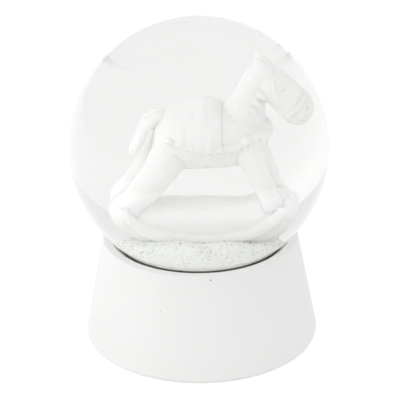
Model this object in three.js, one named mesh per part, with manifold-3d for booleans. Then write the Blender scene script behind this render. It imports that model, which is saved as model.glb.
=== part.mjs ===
// A musical water globe with a rocking horse.
// A liquid-filled glass ball is sealed with a rubber plug and bedded in a hollow cast base, which holds a
// wind-up musical movement on a bottom plate. Millimetres, +Z up, origin on the table under the globe's axis.
import * as THREE from "three";
import { mergeVertices } from "three/addons/utils/BufferGeometryUtils.js";
import Module from "manifold-3d";

const wasm = await Module();
wasm.setup();

// ---- driving dimensions: globe
const GLOBE_RADIUS = 55;
const GLASS_WALL = 2.2;
const BALL_AT_MOUTH = 37.1; // radius of the ball where it passes the mouth of the base
const NECK_STEP = 1.1; // the neck is this much narrower than the ball at the mouth
const NECK_DEPTH = 9; // neck end below the mouth
const PLUG_FLANGE = 2.5;
const PLUG_TOP_DEPTH = 2.5; // top of the plug below the mouth
const PLUG_SKIN = 3.5;
const PLUG_RIM = 7;
const SEAL_DEPTH = 1.6; // top of the seal below the mouth
const SEAL_HEIGHT = 3.4;

// ---- driving dimensions: base
const BASE_BOTTOM_RADIUS = 51;
const BASE_WALL = 4.5;
const MOUTH_GAP = 1.4; // open ring between the ball and the mouth
const LIP_WIDTH = 3.75;
const DECK_THICKNESS = 3;
const DECK_HOLE_RADIUS = 30;
const HEADROOM = 0.75; // under the deck, above the movement
const FELT_THICKNESS = 0.75;
const FELT_INSET = 0.8;
const RIM_WIDTH = 5.4;
const RECESS_DEPTH = 10; // bottom plate above the lower edge of the base
const PLATE_THICKNESS = 2.5;
const BOSS_RADIUS = 4.2;
const BOSS_HEIGHT = 11;
const BOSS_INSET = 1.5; // boss inside the edge of the bottom plate
const RIB_THICKNESS = 3;
const COVER_SCREWS = 3;
const SCREW_RADIUS = 1.3;
const SCREW_HEAD_RADIUS = 2.7;
const SCREW_HEAD_HEIGHT = 1.5;
const SCREW_SLOT = 0.7;
const COVER_SCREW_BITE = 8; // length in the boss
const COMB_SCREW_BITE = 3.5;
const SOUND_HOLES = 6;
const SOUND_HOLE_RADIUS = 2.2;

// ---- driving dimensions: figurine
const MOUND_RISE = 4.5; // crown of the snow mound above the mouth
const MOUND_EDGE_RISE = 1;
const FLAKE_LAYER = 0.75;
const EAR_ROOM = 16.5; // ear tip to the inside of the ball, straight up
const HORSE_HEIGHT = 55.4; // drawn height, from the deck of the rocker to the ear tip
const ROCKER_HEIGHT = 17; // sole of the rocker to its deck
const ROCKER_HALF_LENGTH = 28.5;
const ROCKER_OFFSET = 2.2; // middle of the rocker in front of the globe's axis
const ROCKER_HALF_WIDTH = 9.5;
const RAIL_WIDTH = 4;

// ---- driving dimensions: movement
const BED_MARGIN = 0.6; // round the movement
const COMB_APRON = 2.3; // in front of the comb
const BED_THICKNESS = 1.6;
const BED_CORNER = 3;
const BED_SCREW_INSET = 4;
const BED_SCREW_X = 6; // the third screw stands clear of the governor
const ARBOR_RADIUS = 1.8;
const ARBOR_X = -12;
const ARBOR_Y = 3;
const AXLE_RADIUS = 1;
const GOVERNOR_SHAFT_RADIUS = 0.7;
const WORM_SHAFT_RADIUS = 0.65;
const BRACKET_THICKNESS = 1;
const GEAR_ROOM = 0.65; // between the bedplate and the cylinder's gear
const CROWN_TEETH = 30;
const PINION_TEETH = 12;
const CROWN_PITCH_RADIUS = 10.8;
const CROWN_TOOTH_HEIGHT = 1.65;
const CROWN_TOOTH_WIDTH = 0.7;
const CROWN_THICKNESS = 1.8;
const CROWN_MESH_DEPTH = 0.45; // crown teeth reach this far past the pinion's pitch circle
const PINION_WIDTH = 1.6;
const HOUSING_WALL = 0.8;
const HOUSING_HEIGHT = 11;
const SPRING_TURNS = 4;
const SPRING_STRIP = 0.35;
const CYLINDER_RADIUS = 6.5;
const CYLINDER_LENGTH = 17;
const PIN_HEIGHT = 0.45;
const PIN_ROWS = 9;
const PINS_PER_ROW = 4;
const COMB_TEETH = 18;
const COMB_LENGTH = 13.5;
const COMB_THICKNESS = 1;
const GEAR_MODULE = 0.5;
const GEAR_WIDTH = 1.5;
const WHEEL_WIDTH = 1.2;
const TOOTH_TIP = 0.35; // past the pitch circle
const TOOTH_ROOT = 0.55; // inside it
const TRAIN_GAP = 0.6; // between neighbours along the cylinder's shaft
const GEAR_TEETH = 32;
const GOVERNOR_PINION_TEETH = 8;
const GOVERNOR_WHEEL_TEETH = 16;
const GOVERNOR_DROP = 4; // governor arbor below the cylinder's axis
const WORM_RADIUS = 1.2;
const WORM_WIRE = 0.3;
const WORM_TURNS = 3;
const FAN_WIDTH = 9;
const FAN_HEIGHT = 3.4;
const BEARING_STEP = 1.2; // the worm's lower bearing above the bedplate
const KEY_WIDTH = 25;
const KEY_TABLE_GAP = 0.9; // above the lower edge of the base
const KEY_PLATE_GAP = 1.6;
const KEY_THICKNESS = 2;

// ---- clearances
const FIT_GAP = 0.3; // between pieces that are fitted or turn
const SHAFT_GAP = 0.25;

// ---- fineness of the facets
const ROUND_STEPS = 36; // round a large turned piece
const BALL_STEPS = 14; // down the side of the ball
const SMALL_STEPS = 12; // round a shaft, screw or hole
const CURVE_STEPS = 4; // along each curve of an outline

// ---- movement; heights from the top of the bedplate, x and y from the winding arbor
const gearRadius = (GEAR_MODULE * GEAR_TEETH) / 2;
const axleHeight = gearRadius + TOOTH_TIP + GEAR_ROOM;
const pinionPitchRadius = (CROWN_PITCH_RADIUS * PINION_TEETH) / CROWN_TEETH;
const crownTipLevel = axleHeight - pinionPitchRadius + CROWN_MESH_DEPTH;
const crownDiscTop = crownTipLevel - CROWN_TOOTH_HEIGHT;
const crownOuter = CROWN_PITCH_RADIUS + 1.1;
const housingInner = crownOuter + 0.7;
const pinionStart = CROWN_PITCH_RADIUS - PINION_WIDTH / 2; // along X from the winding arbor
const leftBearing = housingInner + HOUSING_WALL + TRAIN_GAP;
const cylinderStart = leftBearing + BRACKET_THICKNESS + TRAIN_GAP;
const cylinderEnd = cylinderStart + CYLINDER_LENGTH;
const gearStart = cylinderEnd + TRAIN_GAP;
const wheelStart = gearStart + GEAR_WIDTH + TRAIN_GAP;
const rightBearing = wheelStart + WHEEL_WIDTH + TRAIN_GAP;
const governorPinionRadius = (GEAR_MODULE * GOVERNOR_PINION_TEETH) / 2;
const wheelRadius = (GEAR_MODULE * GOVERNOR_WHEEL_TEETH) / 2;
const governorReach = gearRadius + governorPinionRadius;
const governorY = Math.sqrt(governorReach ** 2 - GOVERNOR_DROP ** 2);
const governorZ = axleHeight - GOVERNOR_DROP;
const wormY = governorY + wheelRadius + WORM_RADIUS + 0.2;
const wormX = wheelStart + WHEEL_WIDTH / 2;
const fanBottom = wheelRadius + 1.4; // above the governor's shaft
const fanTop = fanBottom + FAN_HEIGHT;
const meshAngle = Math.atan2(-GOVERNOR_DROP, governorY); // from the cylinder's axis to the governor's
const armLow = fanTop + FIT_GAP; // the governor bracket's arm
const armTop = armLow + BRACKET_THICKNESS;
const bracketEnd = rightBearing + BRACKET_THICKNESS + 3.5;
const bracketBack = wormY + 1.6;
const movementTop = governorZ + armTop;
const combTip = -CYLINDER_RADIUS - PIN_HEIGHT - SHAFT_GAP;
const combHeel = combTip - COMB_LENGTH;
const combRoot = combTip - 0.6 * COMB_LENGTH;

// ---- levels and radii that follow; heights from the table
const shellBottom = FELT_THICKNESS;
const plateBottom = shellBottom + RECESS_DEPTH;
const plateTop = plateBottom + PLATE_THICKNESS;
const bedTop = plateTop + BED_THICKNESS;
const deckBottom = bedTop + movementTop + HEADROOM;
const deckTop = deckBottom + DECK_THICKNESS;
const flangeTop = deckTop + PLUG_FLANGE;
const neckEnd = flangeTop + FIT_GAP;
const baseHeight = neckEnd + NECK_DEPTH;
const plugTop = baseHeight - PLUG_TOP_DEPTH;
const moundTop = baseHeight + MOUND_RISE;
const moundEdge = baseHeight + MOUND_EDGE_RISE;
const globeCentre = baseHeight + Math.sqrt(GLOBE_RADIUS ** 2 - BALL_AT_MOUTH ** 2);
const earTip = globeCentre + GLOBE_RADIUS - GLASS_WALL - EAR_ROOM;
const figureScale = (earTip - moundTop) / (ROCKER_HEIGHT + HORSE_HEIGHT);
const mouthRadius = BALL_AT_MOUTH + MOUTH_GAP;
const lipRadius = mouthRadius + LIP_WIDTH;
const neckOuter = BALL_AT_MOUTH - NECK_STEP;
const neckInner = neckOuter - GLASS_WALL;
const recessRadius = BASE_BOTTOM_RADIUS - RIM_WIDTH;
const plateRadius = recessRadius - FIT_GAP;
const bossCircle = plateRadius - BOSS_RADIUS - BOSS_INSET;
const wallAt = (z) => {
  const rise = (z - shellBottom) / (baseHeight - shellBottom);
  return BASE_BOTTOM_RADIUS + (lipRadius - BASE_BOTTOM_RADIUS) * rise;
};

// ---- materials
function finish(color, roughness, metalness) {
  return new THREE.MeshStandardMaterial({ color, roughness, metalness });
}

const castWhite = finish(0xf4f3f0, 0.55, 0);
const glazedWhite = finish(0xf6f5f2, 0.2, 0);
const snowWhite = finish(0xfafafa, 0.8, 0);
const clearGlass = finish(0xe4efe9, 0.03, 0);
const clearLiquid = finish(0xeef6f6, 0.02, 0);
const sealDark = finish(0x2b302c, 0.5, 0);
const plugRubber = finish(0xd9d7d0, 0.8, 0);
const felt = finish(0xe6e4df, 0.95, 0);
const plateBoard = finish(0xe9e7e2, 0.6, 0);
const steel = finish(0xb9bcc0, 0.3, 1);
const springSteel = finish(0x7d828a, 0.35, 1);
const brass = finish(0xc9a24e, 0.3, 1);
const zincPlate = finish(0xa9adb2, 0.4, 1);
const whitePlastic = finish(0xf0efe9, 0.5, 0);

// ---- solids
function solidOf(geometry) {
  geometry.deleteAttribute("normal");
  geometry.deleteAttribute("uv");
  const merged = mergeVertices(geometry, 1e-4);
  const corners = merged.index.array;
  const triangles = [];
  for (let i = 0; i < corners.length; i += 3) {
    const [a, b, c] = corners.slice(i, i + 3);
    if (a !== b && b !== c && c !== a) {
      triangles.push(a, b, c);
    }
  }
  const vertProperties = new Float32Array(merged.attributes.position.array);
  const triVerts = new Uint32Array(triangles);
  return new wasm.Manifold(new wasm.Mesh({ numProp: 3, vertProperties, triVerts }));
}

function piece(name, solid, material) {
  const { vertProperties, triVerts } = solid.getMesh();
  const geometry = new THREE.BufferGeometry();
  geometry.setAttribute("position", new THREE.BufferAttribute(new Float32Array(vertProperties), 3));
  geometry.setIndex(new THREE.BufferAttribute(new Uint32Array(triVerts), 1));
  geometry.computeVertexNormals();
  const mesh = new THREE.Mesh(geometry, material);
  mesh.name = name;
  return mesh;
}

function at(x, y, z, ...children) {
  const group = new THREE.Group();
  group.position.set(x, y, z);
  group.add(...children);
  return group;
}

const joined = (solids) => solids.reduce((all, next) => all.add(next));
const cut = (solid, cutters) => cutters.reduce((rest, next) => rest.subtract(next), solid);

// A closed outline of [radius, height] points turned about Z.
function turned(outline, segments = ROUND_STEPS) {
  const points = outline.map(([radius, height]) => new THREE.Vector2(radius, height));
  if (THREE.ShapeUtils.area(points) < 0) {
    points.reverse();
  }
  points.push(points[0].clone());
  return solidOf(new THREE.LatheGeometry(points, segments).rotateX(Math.PI / 2));
}

function post(radius, low, high, x = 0, y = 0, segments = SMALL_STEPS) {
  const geometry = new THREE.CylinderGeometry(radius, radius, high - low, segments);
  return solidOf(geometry.rotateX(Math.PI / 2).translate(x, y, (low + high) / 2));
}

// A round bar along X.
function bar(radius, low, high, y = 0, z = 0, segments = SMALL_STEPS) {
  const geometry = new THREE.CylinderGeometry(radius, radius, high - low, segments);
  return solidOf(geometry.rotateZ(-Math.PI / 2).translate((low + high) / 2, y, z));
}

function block(x0, x1, y0, y1, z0, z1) {
  const geometry = new THREE.BoxGeometry(x1 - x0, y1 - y0, z1 - z0);
  return solidOf(geometry.translate((x0 + x1) / 2, (y0 + y1) / 2, (z0 + z1) / 2));
}

const shapeOf = (points) => new THREE.Shape(points.map(([x, y]) => new THREE.Vector2(x, y)));

function extruded(shape, depth) {
  return new THREE.ExtrudeGeometry(shape, { depth, bevelEnabled: false, curveSegments: CURVE_STEPS });
}

// An outline in the XY plane, thickened upwards.
const plate = (shape, low, high) => solidOf(extruded(shape, high - low).translate(0, 0, low));

// An outline in the XZ plane, thickened across Y from -half to +half, with softened edges inside the outline.
function slab(shape, half, soft = 0) {
  const options = { depth: 2 * (half - soft), bevelEnabled: soft > 0, curveSegments: CURVE_STEPS };
  Object.assign(options, { bevelSize: soft, bevelOffset: -soft, bevelThickness: soft, bevelSegments: 1 });
  const geometry = new THREE.ExtrudeGeometry(shape, options).rotateX(Math.PI / 2);
  return solidOf(geometry.translate(0, half - soft, 0));
}

// An outline in the YZ plane, thickened along X.
function cheek(shape, low, high) {
  const geometry = extruded(shape, high - low).rotateX(Math.PI / 2).rotateZ(Math.PI / 2);
  return solidOf(geometry.translate(low, 0, 0));
}

// Points of an arc of [radius, height] about the globe's centre, from one height to another.
function ballArc(radius, fromHeight, toHeight, steps = BALL_STEPS) {
  const start = Math.asin(fromHeight / radius);
  const end = Math.asin(toHeight / radius);
  return Array.from({ length: steps + 1 }, (_, i) => {
    const angle = start + ((end - start) * i) / steps;
    return [radius * Math.cos(angle), radius * Math.sin(angle)];
  });
}

function aroundCircle(count, radius, startAngle, make) {
  return Array.from({ length: count }, (_, i) => {
    const angle = startAngle + (i * 2 * Math.PI) / count;
    return make(radius * Math.cos(angle), radius * Math.sin(angle), i);
  });
}

// ---- globe
// The blown ball ends in an open neck; heights here are from the globe's centre.
function glassGlobe() {
  const innerRadius = GLOBE_RADIUS - GLASS_WALL;
  const neckLevel = neckEnd - globeCentre;
  const outerJoin = -Math.sqrt(GLOBE_RADIUS ** 2 - neckOuter ** 2);
  const innerJoin = -Math.sqrt(innerRadius ** 2 - neckInner ** 2);
  const outline = [
    [neckOuter, neckLevel],
    ...ballArc(GLOBE_RADIUS, outerJoin, GLOBE_RADIUS),
    ...ballArc(innerRadius, innerRadius, innerJoin),
    [neckInner, neckLevel],
  ];
  return piece("glass_globe", turned(outline), clearGlass);
}

function rubberPlug() {
  const bodyRadius = neckInner - FIT_GAP;
  const cupRadius = bodyRadius - PLUG_RIM;
  const outline = [
    [0, plugTop],
    [0, plugTop - PLUG_SKIN],
    [cupRadius, plugTop - PLUG_SKIN],
    [cupRadius, deckTop],
    [neckOuter, deckTop],
    [neckOuter, flangeTop],
    [bodyRadius, flangeTop],
    [bodyRadius, plugTop],
  ];
  return piece("rubber_plug", turned(outline), plugRubber);
}

function globeSeal() {
  const sealTop = baseHeight - SEAL_DEPTH;
  const sealBottom = sealTop - SEAL_HEIGHT;
  const inner = neckOuter + FIT_GAP;
  const outer = mouthRadius - FIT_GAP;
  const outline = [[inner, sealBottom], [outer, sealBottom], [outer, sealTop], [inner, sealTop]];
  return piece("globe_seal", turned(outline), sealDark);
}

// ---- figurine
function moundOutline(grow) {
  const radius = neckInner - 2 * FIT_GAP + grow;
  return [
    [0, plugTop],
    [radius, plugTop],
    [radius, moundEdge + grow],
    [radius * 0.76, moundEdge + grow],
    [radius * 0.6, moundEdge + 1.6 + grow],
    [radius * 0.4, moundTop + grow],
    [0, moundTop + grow],
  ];
}

const snowMound = () => piece("snow_mound", turned(moundOutline(0)), snowWhite);

function settledFlakes() {
  const outer = neckInner - 3 * FIT_GAP;
  const inner = (neckInner - 2 * FIT_GAP) * 0.78;
  const outline = [
    [inner, moundEdge],
    [outer, moundEdge],
    [outer, moundEdge + FLAKE_LAYER],
    [inner, moundEdge + FLAKE_LAYER],
  ];
  return piece("settled_flakes", turned(outline), snowWhite);
}

// The rocker stands on the mound: two bowed rails with a snow-filled deck between them.
// Heights here are from the sole of the rocker.
function railShape(inset) {
  const half = ROCKER_HALF_LENGTH - inset;
  const tip = ROCKER_HEIGHT - inset;
  const shape = new THREE.Shape();
  shape.moveTo(-half + 6, tip);
  shape.quadraticCurveTo(-half, tip, -half, tip - 4);
  shape.quadraticCurveTo(-half + 1, tip - 8, -half + 7, 5.5 + inset);
  shape.quadraticCurveTo(-6, inset, 0, inset);
  shape.quadraticCurveTo(6, inset, half - 7, 5.5 + inset);
  shape.quadraticCurveTo(half - 1, tip - 8, half, tip - 4);
  shape.quadraticCurveTo(half, tip, half - 6, tip);
  return shape;
}

function rocker() {
  const rails = [-1, 1].map((side) => {
    const middle = side * (ROCKER_HALF_WIDTH - RAIL_WIDTH / 2);
    return slab(railShape(0), RAIL_WIDTH / 2, 0.8).translate([0, middle, 0]);
  });
  const infill = slab(railShape(1.5), ROCKER_HALF_WIDTH - RAIL_WIDTH / 2);
  return piece("rocker", joined([...rails, infill]), glazedWhite);
}

function ellipsoid(x, y, z, rx, ry, rz) {
  return solidOf(new THREE.SphereGeometry(1, 14, 8).scale(rx, ry, rz).translate(x, y, z));
}

// A tapered limb between two points.
function limb(from, to, fromRadius, toRadius) {
  const start = new THREE.Vector3(...from);
  const end = new THREE.Vector3(...to);
  const along = end.clone().sub(start);
  const geometry = new THREE.CylinderGeometry(toRadius, fromRadius, along.length(), 8);
  const turn = new THREE.Quaternion().setFromUnitVectors(new THREE.Vector3(0, 1, 0), along.normalize());
  geometry.applyQuaternion(turn).translate(...start.add(end).multiplyScalar(0.5).toArray());
  return solidOf(geometry);
}

// Neck, head, ear and chest in side view; heights from the rocker's deck, x from the globe's axis.
function foreShape() {
  const shape = new THREE.Shape();
  shape.moveTo(2, 34);
  shape.quadraticCurveTo(10, 37, 14, 43);
  shape.lineTo(17.4, 49);
  shape.lineTo(19.6, HORSE_HEIGHT);
  shape.lineTo(23.4, 51.4);
  shape.lineTo(30, 48.2);
  shape.quadraticCurveTo(36, 43, 38.6, 38.5);
  shape.quadraticCurveTo(40.4, 33, 36.4, 29);
  shape.quadraticCurveTo(31, 24.5, 27.8, 28.2);
  shape.lineTo(22.6, 35);
  shape.quadraticCurveTo(21, 29, 23.2, 23);
  shape.quadraticCurveTo(22, 16.5, 14, 14);
  shape.lineTo(2, 20);
  return shape;
}

function tailShape() {
  const shape = new THREE.Shape();
  shape.moveTo(-13, 31);
  shape.quadraticCurveTo(-20, 33, -22, 25);
  shape.quadraticCurveTo(-22, 19, -26, 17.5);
  shape.lineTo(-25.4, 14);
  shape.quadraticCurveTo(-21, 14, -19, 18);
  shape.quadraticCurveTo(-17.5, 23, -14, 24);
  return shape;
}

function rockingHorse() {
  const legs = [-1, 1].flatMap((side) => [
    limb([13.5, side * 5.5, 18], [23.5, side * 6.5, 0], 5, 3.8),
    limb([-12, side * 5.5, 19], [-21, side * 6.5, 0], 6.5, 4.8),
  ]);
  const horse = joined([
    ellipsoid(1.5, 0, 24.5, 20.5, 11, 11.5),
    ellipsoid(-9.5, 0, 23.5, 11, 10.5, 11.5),
    slab(foreShape(), 5.5, 1.2),
    slab(tailShape(), 2.6, 0.8),
    ...legs,
  ]);
  const belowDeck = block(-60, 60, -40, 40, -20, 0); // the hooves end flat on the rocker's deck
  return piece("rocking_horse", horse.subtract(belowDeck), glazedWhite);
}

// The figurine's outer shape, with room round it, as a hollow in the liquid. Heights from the rocker's sole.
function figureHollow() {
  const deck = ROCKER_HEIGHT;
  const horseOutline = [
    [-31, 5], [-28, 29], [-18, 37], [4, 38], [15, HORSE_HEIGHT + 2.1], [21, HORSE_HEIGHT + 4.1],
    [33, 53], [43, 41], [43, 33], [36, 24], [28, 22], [30, 7], [35, 1],
  ];
  const outline = [[-31, -12], ...horseOutline.map(([x, z]) => [x, deck + z]), [34, deck - 11], [28, -12]];
  return slab(shapeOf(outline), 13.5);
}

function figurine() {
  const horse = rockingHorse();
  horse.position.set(-ROCKER_OFFSET, 0, ROCKER_HEIGHT);
  const group = at(ROCKER_OFFSET, 0, moundTop, rocker(), horse);
  group.scale.setScalar(figureScale);
  return group;
}

function liquid() {
  const radius = GLOBE_RADIUS - GLASS_WALL - FIT_GAP;
  const floor = moundEdge + FLAKE_LAYER + FIT_GAP;
  const outline = [[0, floor - globeCentre], ...ballArc(radius, floor - globeCentre, radius)];
  const filled = turned(outline).translate([0, 0, globeCentre]);
  const figure = figureHollow().scale(figureScale).translate([0, 0, moundTop]);
  return piece("water_fill", cut(filled, [turned(moundOutline(FIT_GAP)), figure]), clearLiquid);
}

// ---- base
function baseShell() {
  const ledge = plateTop;
  const outline = [
    [BASE_BOTTOM_RADIUS, shellBottom],
    [lipRadius, baseHeight],
    [mouthRadius, baseHeight],
    [mouthRadius, deckTop],
    [DECK_HOLE_RADIUS, deckTop],
    [DECK_HOLE_RADIUS, deckBottom],
    [wallAt(deckBottom) - BASE_WALL, deckBottom],
    [wallAt(ledge) - BASE_WALL, ledge],
    [recessRadius, ledge],
    [recessRadius, shellBottom],
  ];
  const bosses = aroundCircle(COVER_SCREWS, bossCircle, 0, (x, y) => {
    const boss = post(BOSS_RADIUS, ledge, ledge + BOSS_HEIGHT, x, y);
    const reach = wallAt(ledge + BOSS_HEIGHT) - BASE_WALL / 2;
    const rib = block(bossCircle, reach, -RIB_THICKNESS / 2, RIB_THICKNESS / 2, ledge, ledge + BOSS_HEIGHT);
    return boss.add(rib.rotate([0, 0, THREE.MathUtils.radToDeg(Math.atan2(y, x))]));
  });
  const pilots = aroundCircle(COVER_SCREWS, bossCircle, 0, (x, y) =>
    post(SCREW_RADIUS + FIT_GAP, ledge - 1, ledge + COVER_SCREW_BITE + 1, x, y),
  );
  return piece("base_shell", cut(joined([turned(outline, 48), ...bosses]), pilots), castWhite);
}

function feltRing() {
  const inner = recessRadius + FELT_INSET;
  const outer = BASE_BOTTOM_RADIUS - FELT_INSET;
  const outline = [[inner, 0], [outer, 0], [outer, FELT_THICKNESS], [inner, FELT_THICKNESS]];
  return piece("felt_ring", turned(outline), felt);
}

const bedLeft = ARBOR_X - housingInner - HOUSING_WALL - BED_MARGIN;
const bedRight = ARBOR_X + bracketEnd + BED_MARGIN;
const bedFront = ARBOR_Y + combHeel - COMB_APRON;
const bedBack = ARBOR_Y + bracketBack + BED_MARGIN;
const bedScrewPlaces = [
  [bedLeft + BED_SCREW_INSET, bedFront + BED_SCREW_INSET],
  [bedLeft + BED_SCREW_INSET, bedBack - BED_SCREW_INSET],
  [BED_SCREW_X, bedBack - BED_SCREW_INSET],
];

function bottomPlate() {
  const disc = post(plateRadius, plateBottom, plateTop, 0, 0, 48);
  const through = (radius, x, y) => post(radius, plateBottom - 1, plateTop + 1, x, y);
  const offset = Math.PI / SOUND_HOLES; // the sound holes stand between the cover screws
  const holes = [
    ...aroundCircle(COVER_SCREWS, bossCircle, 0, (x, y) => through(SCREW_RADIUS + FIT_GAP, x, y)),
    ...aroundCircle(SOUND_HOLES, bossCircle - 3, offset, (x, y) => through(SOUND_HOLE_RADIUS, x, y)),
    ...bedScrewPlaces.map(([x, y]) => through(SCREW_RADIUS + FIT_GAP, x, y)),
    through(2 * ARBOR_RADIUS, ARBOR_X, ARBOR_Y),
  ];
  return piece("bottom_plate", cut(disc, holes), plateBoard);
}

// A slotted pan-head screw, head down, its head seated at z = 0.
function screw(name, length) {
  const head = post(SCREW_HEAD_RADIUS, -SCREW_HEAD_HEIGHT, 0);
  const shank = post(SCREW_RADIUS, -SCREW_HEAD_HEIGHT / 2, length);
  const reach = SCREW_HEAD_RADIUS + 1;
  const slot = block(-reach, reach, -SCREW_SLOT / 2, SCREW_SLOT / 2, -reach, -0.6 * SCREW_HEAD_HEIGHT);
  return piece(name, head.add(shank).subtract(slot), steel);
}

function coverScrews() {
  const length = PLATE_THICKNESS + COVER_SCREW_BITE;
  return aroundCircle(COVER_SCREWS, bossCircle, 0, (x, y, i) =>
    at(x, y, plateBottom, screw(`cover_screw_${i + 1}`, length)),
  );
}

function movementScrews() {
  const length = PLATE_THICKNESS + BED_THICKNESS + 1;
  return bedScrewPlaces.map(([x, y], i) => at(x, y, plateBottom, screw(`movement_screw_${i + 1}`, length)));
}

// ---- movement; heights from the top of the bedplate

// Straight-sided teeth; a tooth is centred on the start angle.
function gearShape(teeth, root, tip, toothShare, startAngle, boreRadius) {
  const pitch = (2 * Math.PI) / teeth;
  const points = [];
  for (let i = 0; i < teeth; i += 1) {
    const centre = startAngle + i * pitch;
    const foot = (toothShare * pitch) / 2;
    const corners = [[root, -foot], [tip, -foot * 0.6], [tip, foot * 0.6], [root, foot]];
    for (const [radius, offset] of corners) {
      points.push([radius * Math.cos(centre + offset), radius * Math.sin(centre + offset)]);
    }
  }
  const shape = shapeOf(points);
  if (boreRadius) {
    shape.holes.push(new THREE.Path().absarc(0, 0, boreRadius, 0, 2 * Math.PI, true));
  }
  return shape;
}

function bedplate() {
  const [right, back] = [bedRight - BED_CORNER, bedBack - BED_CORNER];
  const [left, front] = [bedLeft + BED_CORNER, bedFront + BED_CORNER];
  const shape = new THREE.Shape();
  [[right, back], [left, back], [left, front], [right, front]].forEach(([cornerX, cornerY], i) => {
    shape.absarc(cornerX, cornerY, BED_CORNER, (i * Math.PI) / 2, ((i + 1) * Math.PI) / 2);
  });
  const hole = (radius, holeX, holeY) => post(radius, -BED_THICKNESS - 1, 1, holeX, holeY);
  const holes = bedScrewPlaces.map(([screwX, screwY]) => hole(SCREW_RADIUS + FIT_GAP, screwX, screwY));
  holes.push(hole(ARBOR_RADIUS + FIT_GAP, ARBOR_X, ARBOR_Y));
  return piece("bedplate", cut(plate(shape, -BED_THICKNESS, 0), holes), brass);
}

// The winding train turns about Z; its pieces are drawn round the arbor.
function windingArbor() {
  const keyEnd = plateBottom - bedTop - 5.5;
  return piece("winding_arbor", post(ARBOR_RADIUS, keyEnd, HOUSING_HEIGHT - HOUSING_WALL - FIT_GAP), steel);
}

function crownWheel() {
  const half = CROWN_TOOTH_WIDTH / 2;
  const disc = post(crownOuter, crownDiscTop - CROWN_THICKNESS, crownDiscTop, 0, 0, CROWN_TEETH);
  const hub = post(ARBOR_RADIUS + 1.4, 0.6, crownDiscTop);
  const teeth = Array.from({ length: CROWN_TEETH }, (_, i) =>
    block(CROWN_PITCH_RADIUS - 1.1, CROWN_PITCH_RADIUS + 0.95, -half, half, crownDiscTop - 0.3, crownTipLevel)
      .rotate([0, 0, (i * 360) / CROWN_TEETH]),
  );
  const bore = post(ARBOR_RADIUS + SHAFT_GAP, -1, crownDiscTop + 1);
  return piece("crown_wheel", joined([disc, hub, ...teeth]).subtract(bore), whitePlastic);
}

function windingKey() {
  const hubTop = plateBottom - bedTop - 0.5;
  const wingBottom = shellBottom - bedTop + KEY_TABLE_GAP;
  const wingTop = plateBottom - bedTop - KEY_PLATE_GAP;
  const wingMiddle = (wingBottom + wingTop) / 2;
  const wing = new THREE.Shape();
  const half = KEY_WIDTH / 2;
  wing.moveTo(0, wingBottom + 2);
  wing.quadraticCurveTo(3, wingBottom, half - 3, wingBottom);
  wing.quadraticCurveTo(half, wingBottom, half, wingMiddle);
  wing.quadraticCurveTo(half, wingTop, half - 3, wingTop);
  wing.quadraticCurveTo(5, wingTop, 2, wingTop - 1.5);
  wing.lineTo(-2, wingTop - 1.5);
  wing.quadraticCurveTo(-5, wingTop, -half + 3, wingTop);
  wing.quadraticCurveTo(-half, wingTop, -half, wingMiddle);
  wing.quadraticCurveTo(-half, wingBottom, -half + 3, wingBottom);
  wing.quadraticCurveTo(-3, wingBottom, 0, wingBottom + 2);
  const hub = post(ARBOR_RADIUS + 1.5, wingBottom + 1, hubTop);
  const bore = post(ARBOR_RADIUS + SHAFT_GAP, plateBottom - bedTop - 5.8, hubTop + 1);
  return piece("winding_key", hub.add(slab(wing, KEY_THICKNESS / 2, 0.5)).subtract(bore), steel);
}

function springHousing() {
  const outer = housingInner + HOUSING_WALL;
  const outline = [
    [housingInner, 0],
    [outer, 0],
    [outer, HOUSING_HEIGHT],
    [0, HOUSING_HEIGHT],
    [0, HOUSING_HEIGHT - HOUSING_WALL],
    [housingInner, HOUSING_HEIGHT - HOUSING_WALL],
  ];
  const pinionRoom = pinionPitchRadius + 0.6 + 2 * FIT_GAP;
  const sill = crownDiscTop - CROWN_THICKNESS;
  const window = block(pinionStart - 0.9, outer + 1, -pinionRoom, pinionRoom, sill, HOUSING_HEIGHT + 1);
  return piece("spring_housing", turned(outline).subtract(window), brass);
}

// The mainspring is a flat strip coiled between the arbor and the housing.
function mainspring() {
  const inner = ARBOR_RADIUS + 0.5;
  const outer = pinionStart - 1.3;
  const stepsPerTurn = 16;
  const steps = SPRING_TURNS * stepsPerTurn;
  const side = (offset) =>
    Array.from({ length: steps + 1 }, (_, i) => {
      const radius = inner + ((outer - SPRING_STRIP - inner) * i) / steps + offset;
      const angle = (2 * Math.PI * i) / stepsPerTurn;
      return [radius * Math.cos(angle), radius * Math.sin(angle)];
    });
  const outline = [...side(SPRING_STRIP), ...side(0).reverse()];
  const low = crownTipLevel + 0.1;
  const high = HOUSING_HEIGHT - HOUSING_WALL - FIT_GAP;
  return piece("mainspring", plate(shapeOf(outline), low, high), springSteel);
}

// ---- cylinder train, drawn along X from the winding arbor with its axis at y = z = 0

function cylinderPinion() {
  const toothAtMesh = -Math.PI / 2 + Math.PI / PINION_TEETH;
  const root = pinionPitchRadius - CROWN_MESH_DEPTH - 0.2;
  const tip = pinionPitchRadius + 0.55;
  const shape = gearShape(PINION_TEETH, root, tip, 0.36, toothAtMesh, AXLE_RADIUS + SHAFT_GAP);
  return piece("cylinder_pinion", cheek(shape, pinionStart, pinionStart + PINION_WIDTH), whitePlastic);
}

function cylinderAxle() {
  const end = rightBearing + BRACKET_THICKNESS + 0.2;
  return piece("cylinder_axle", bar(AXLE_RADIUS, pinionStart - 0.3, end), steel);
}

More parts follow.
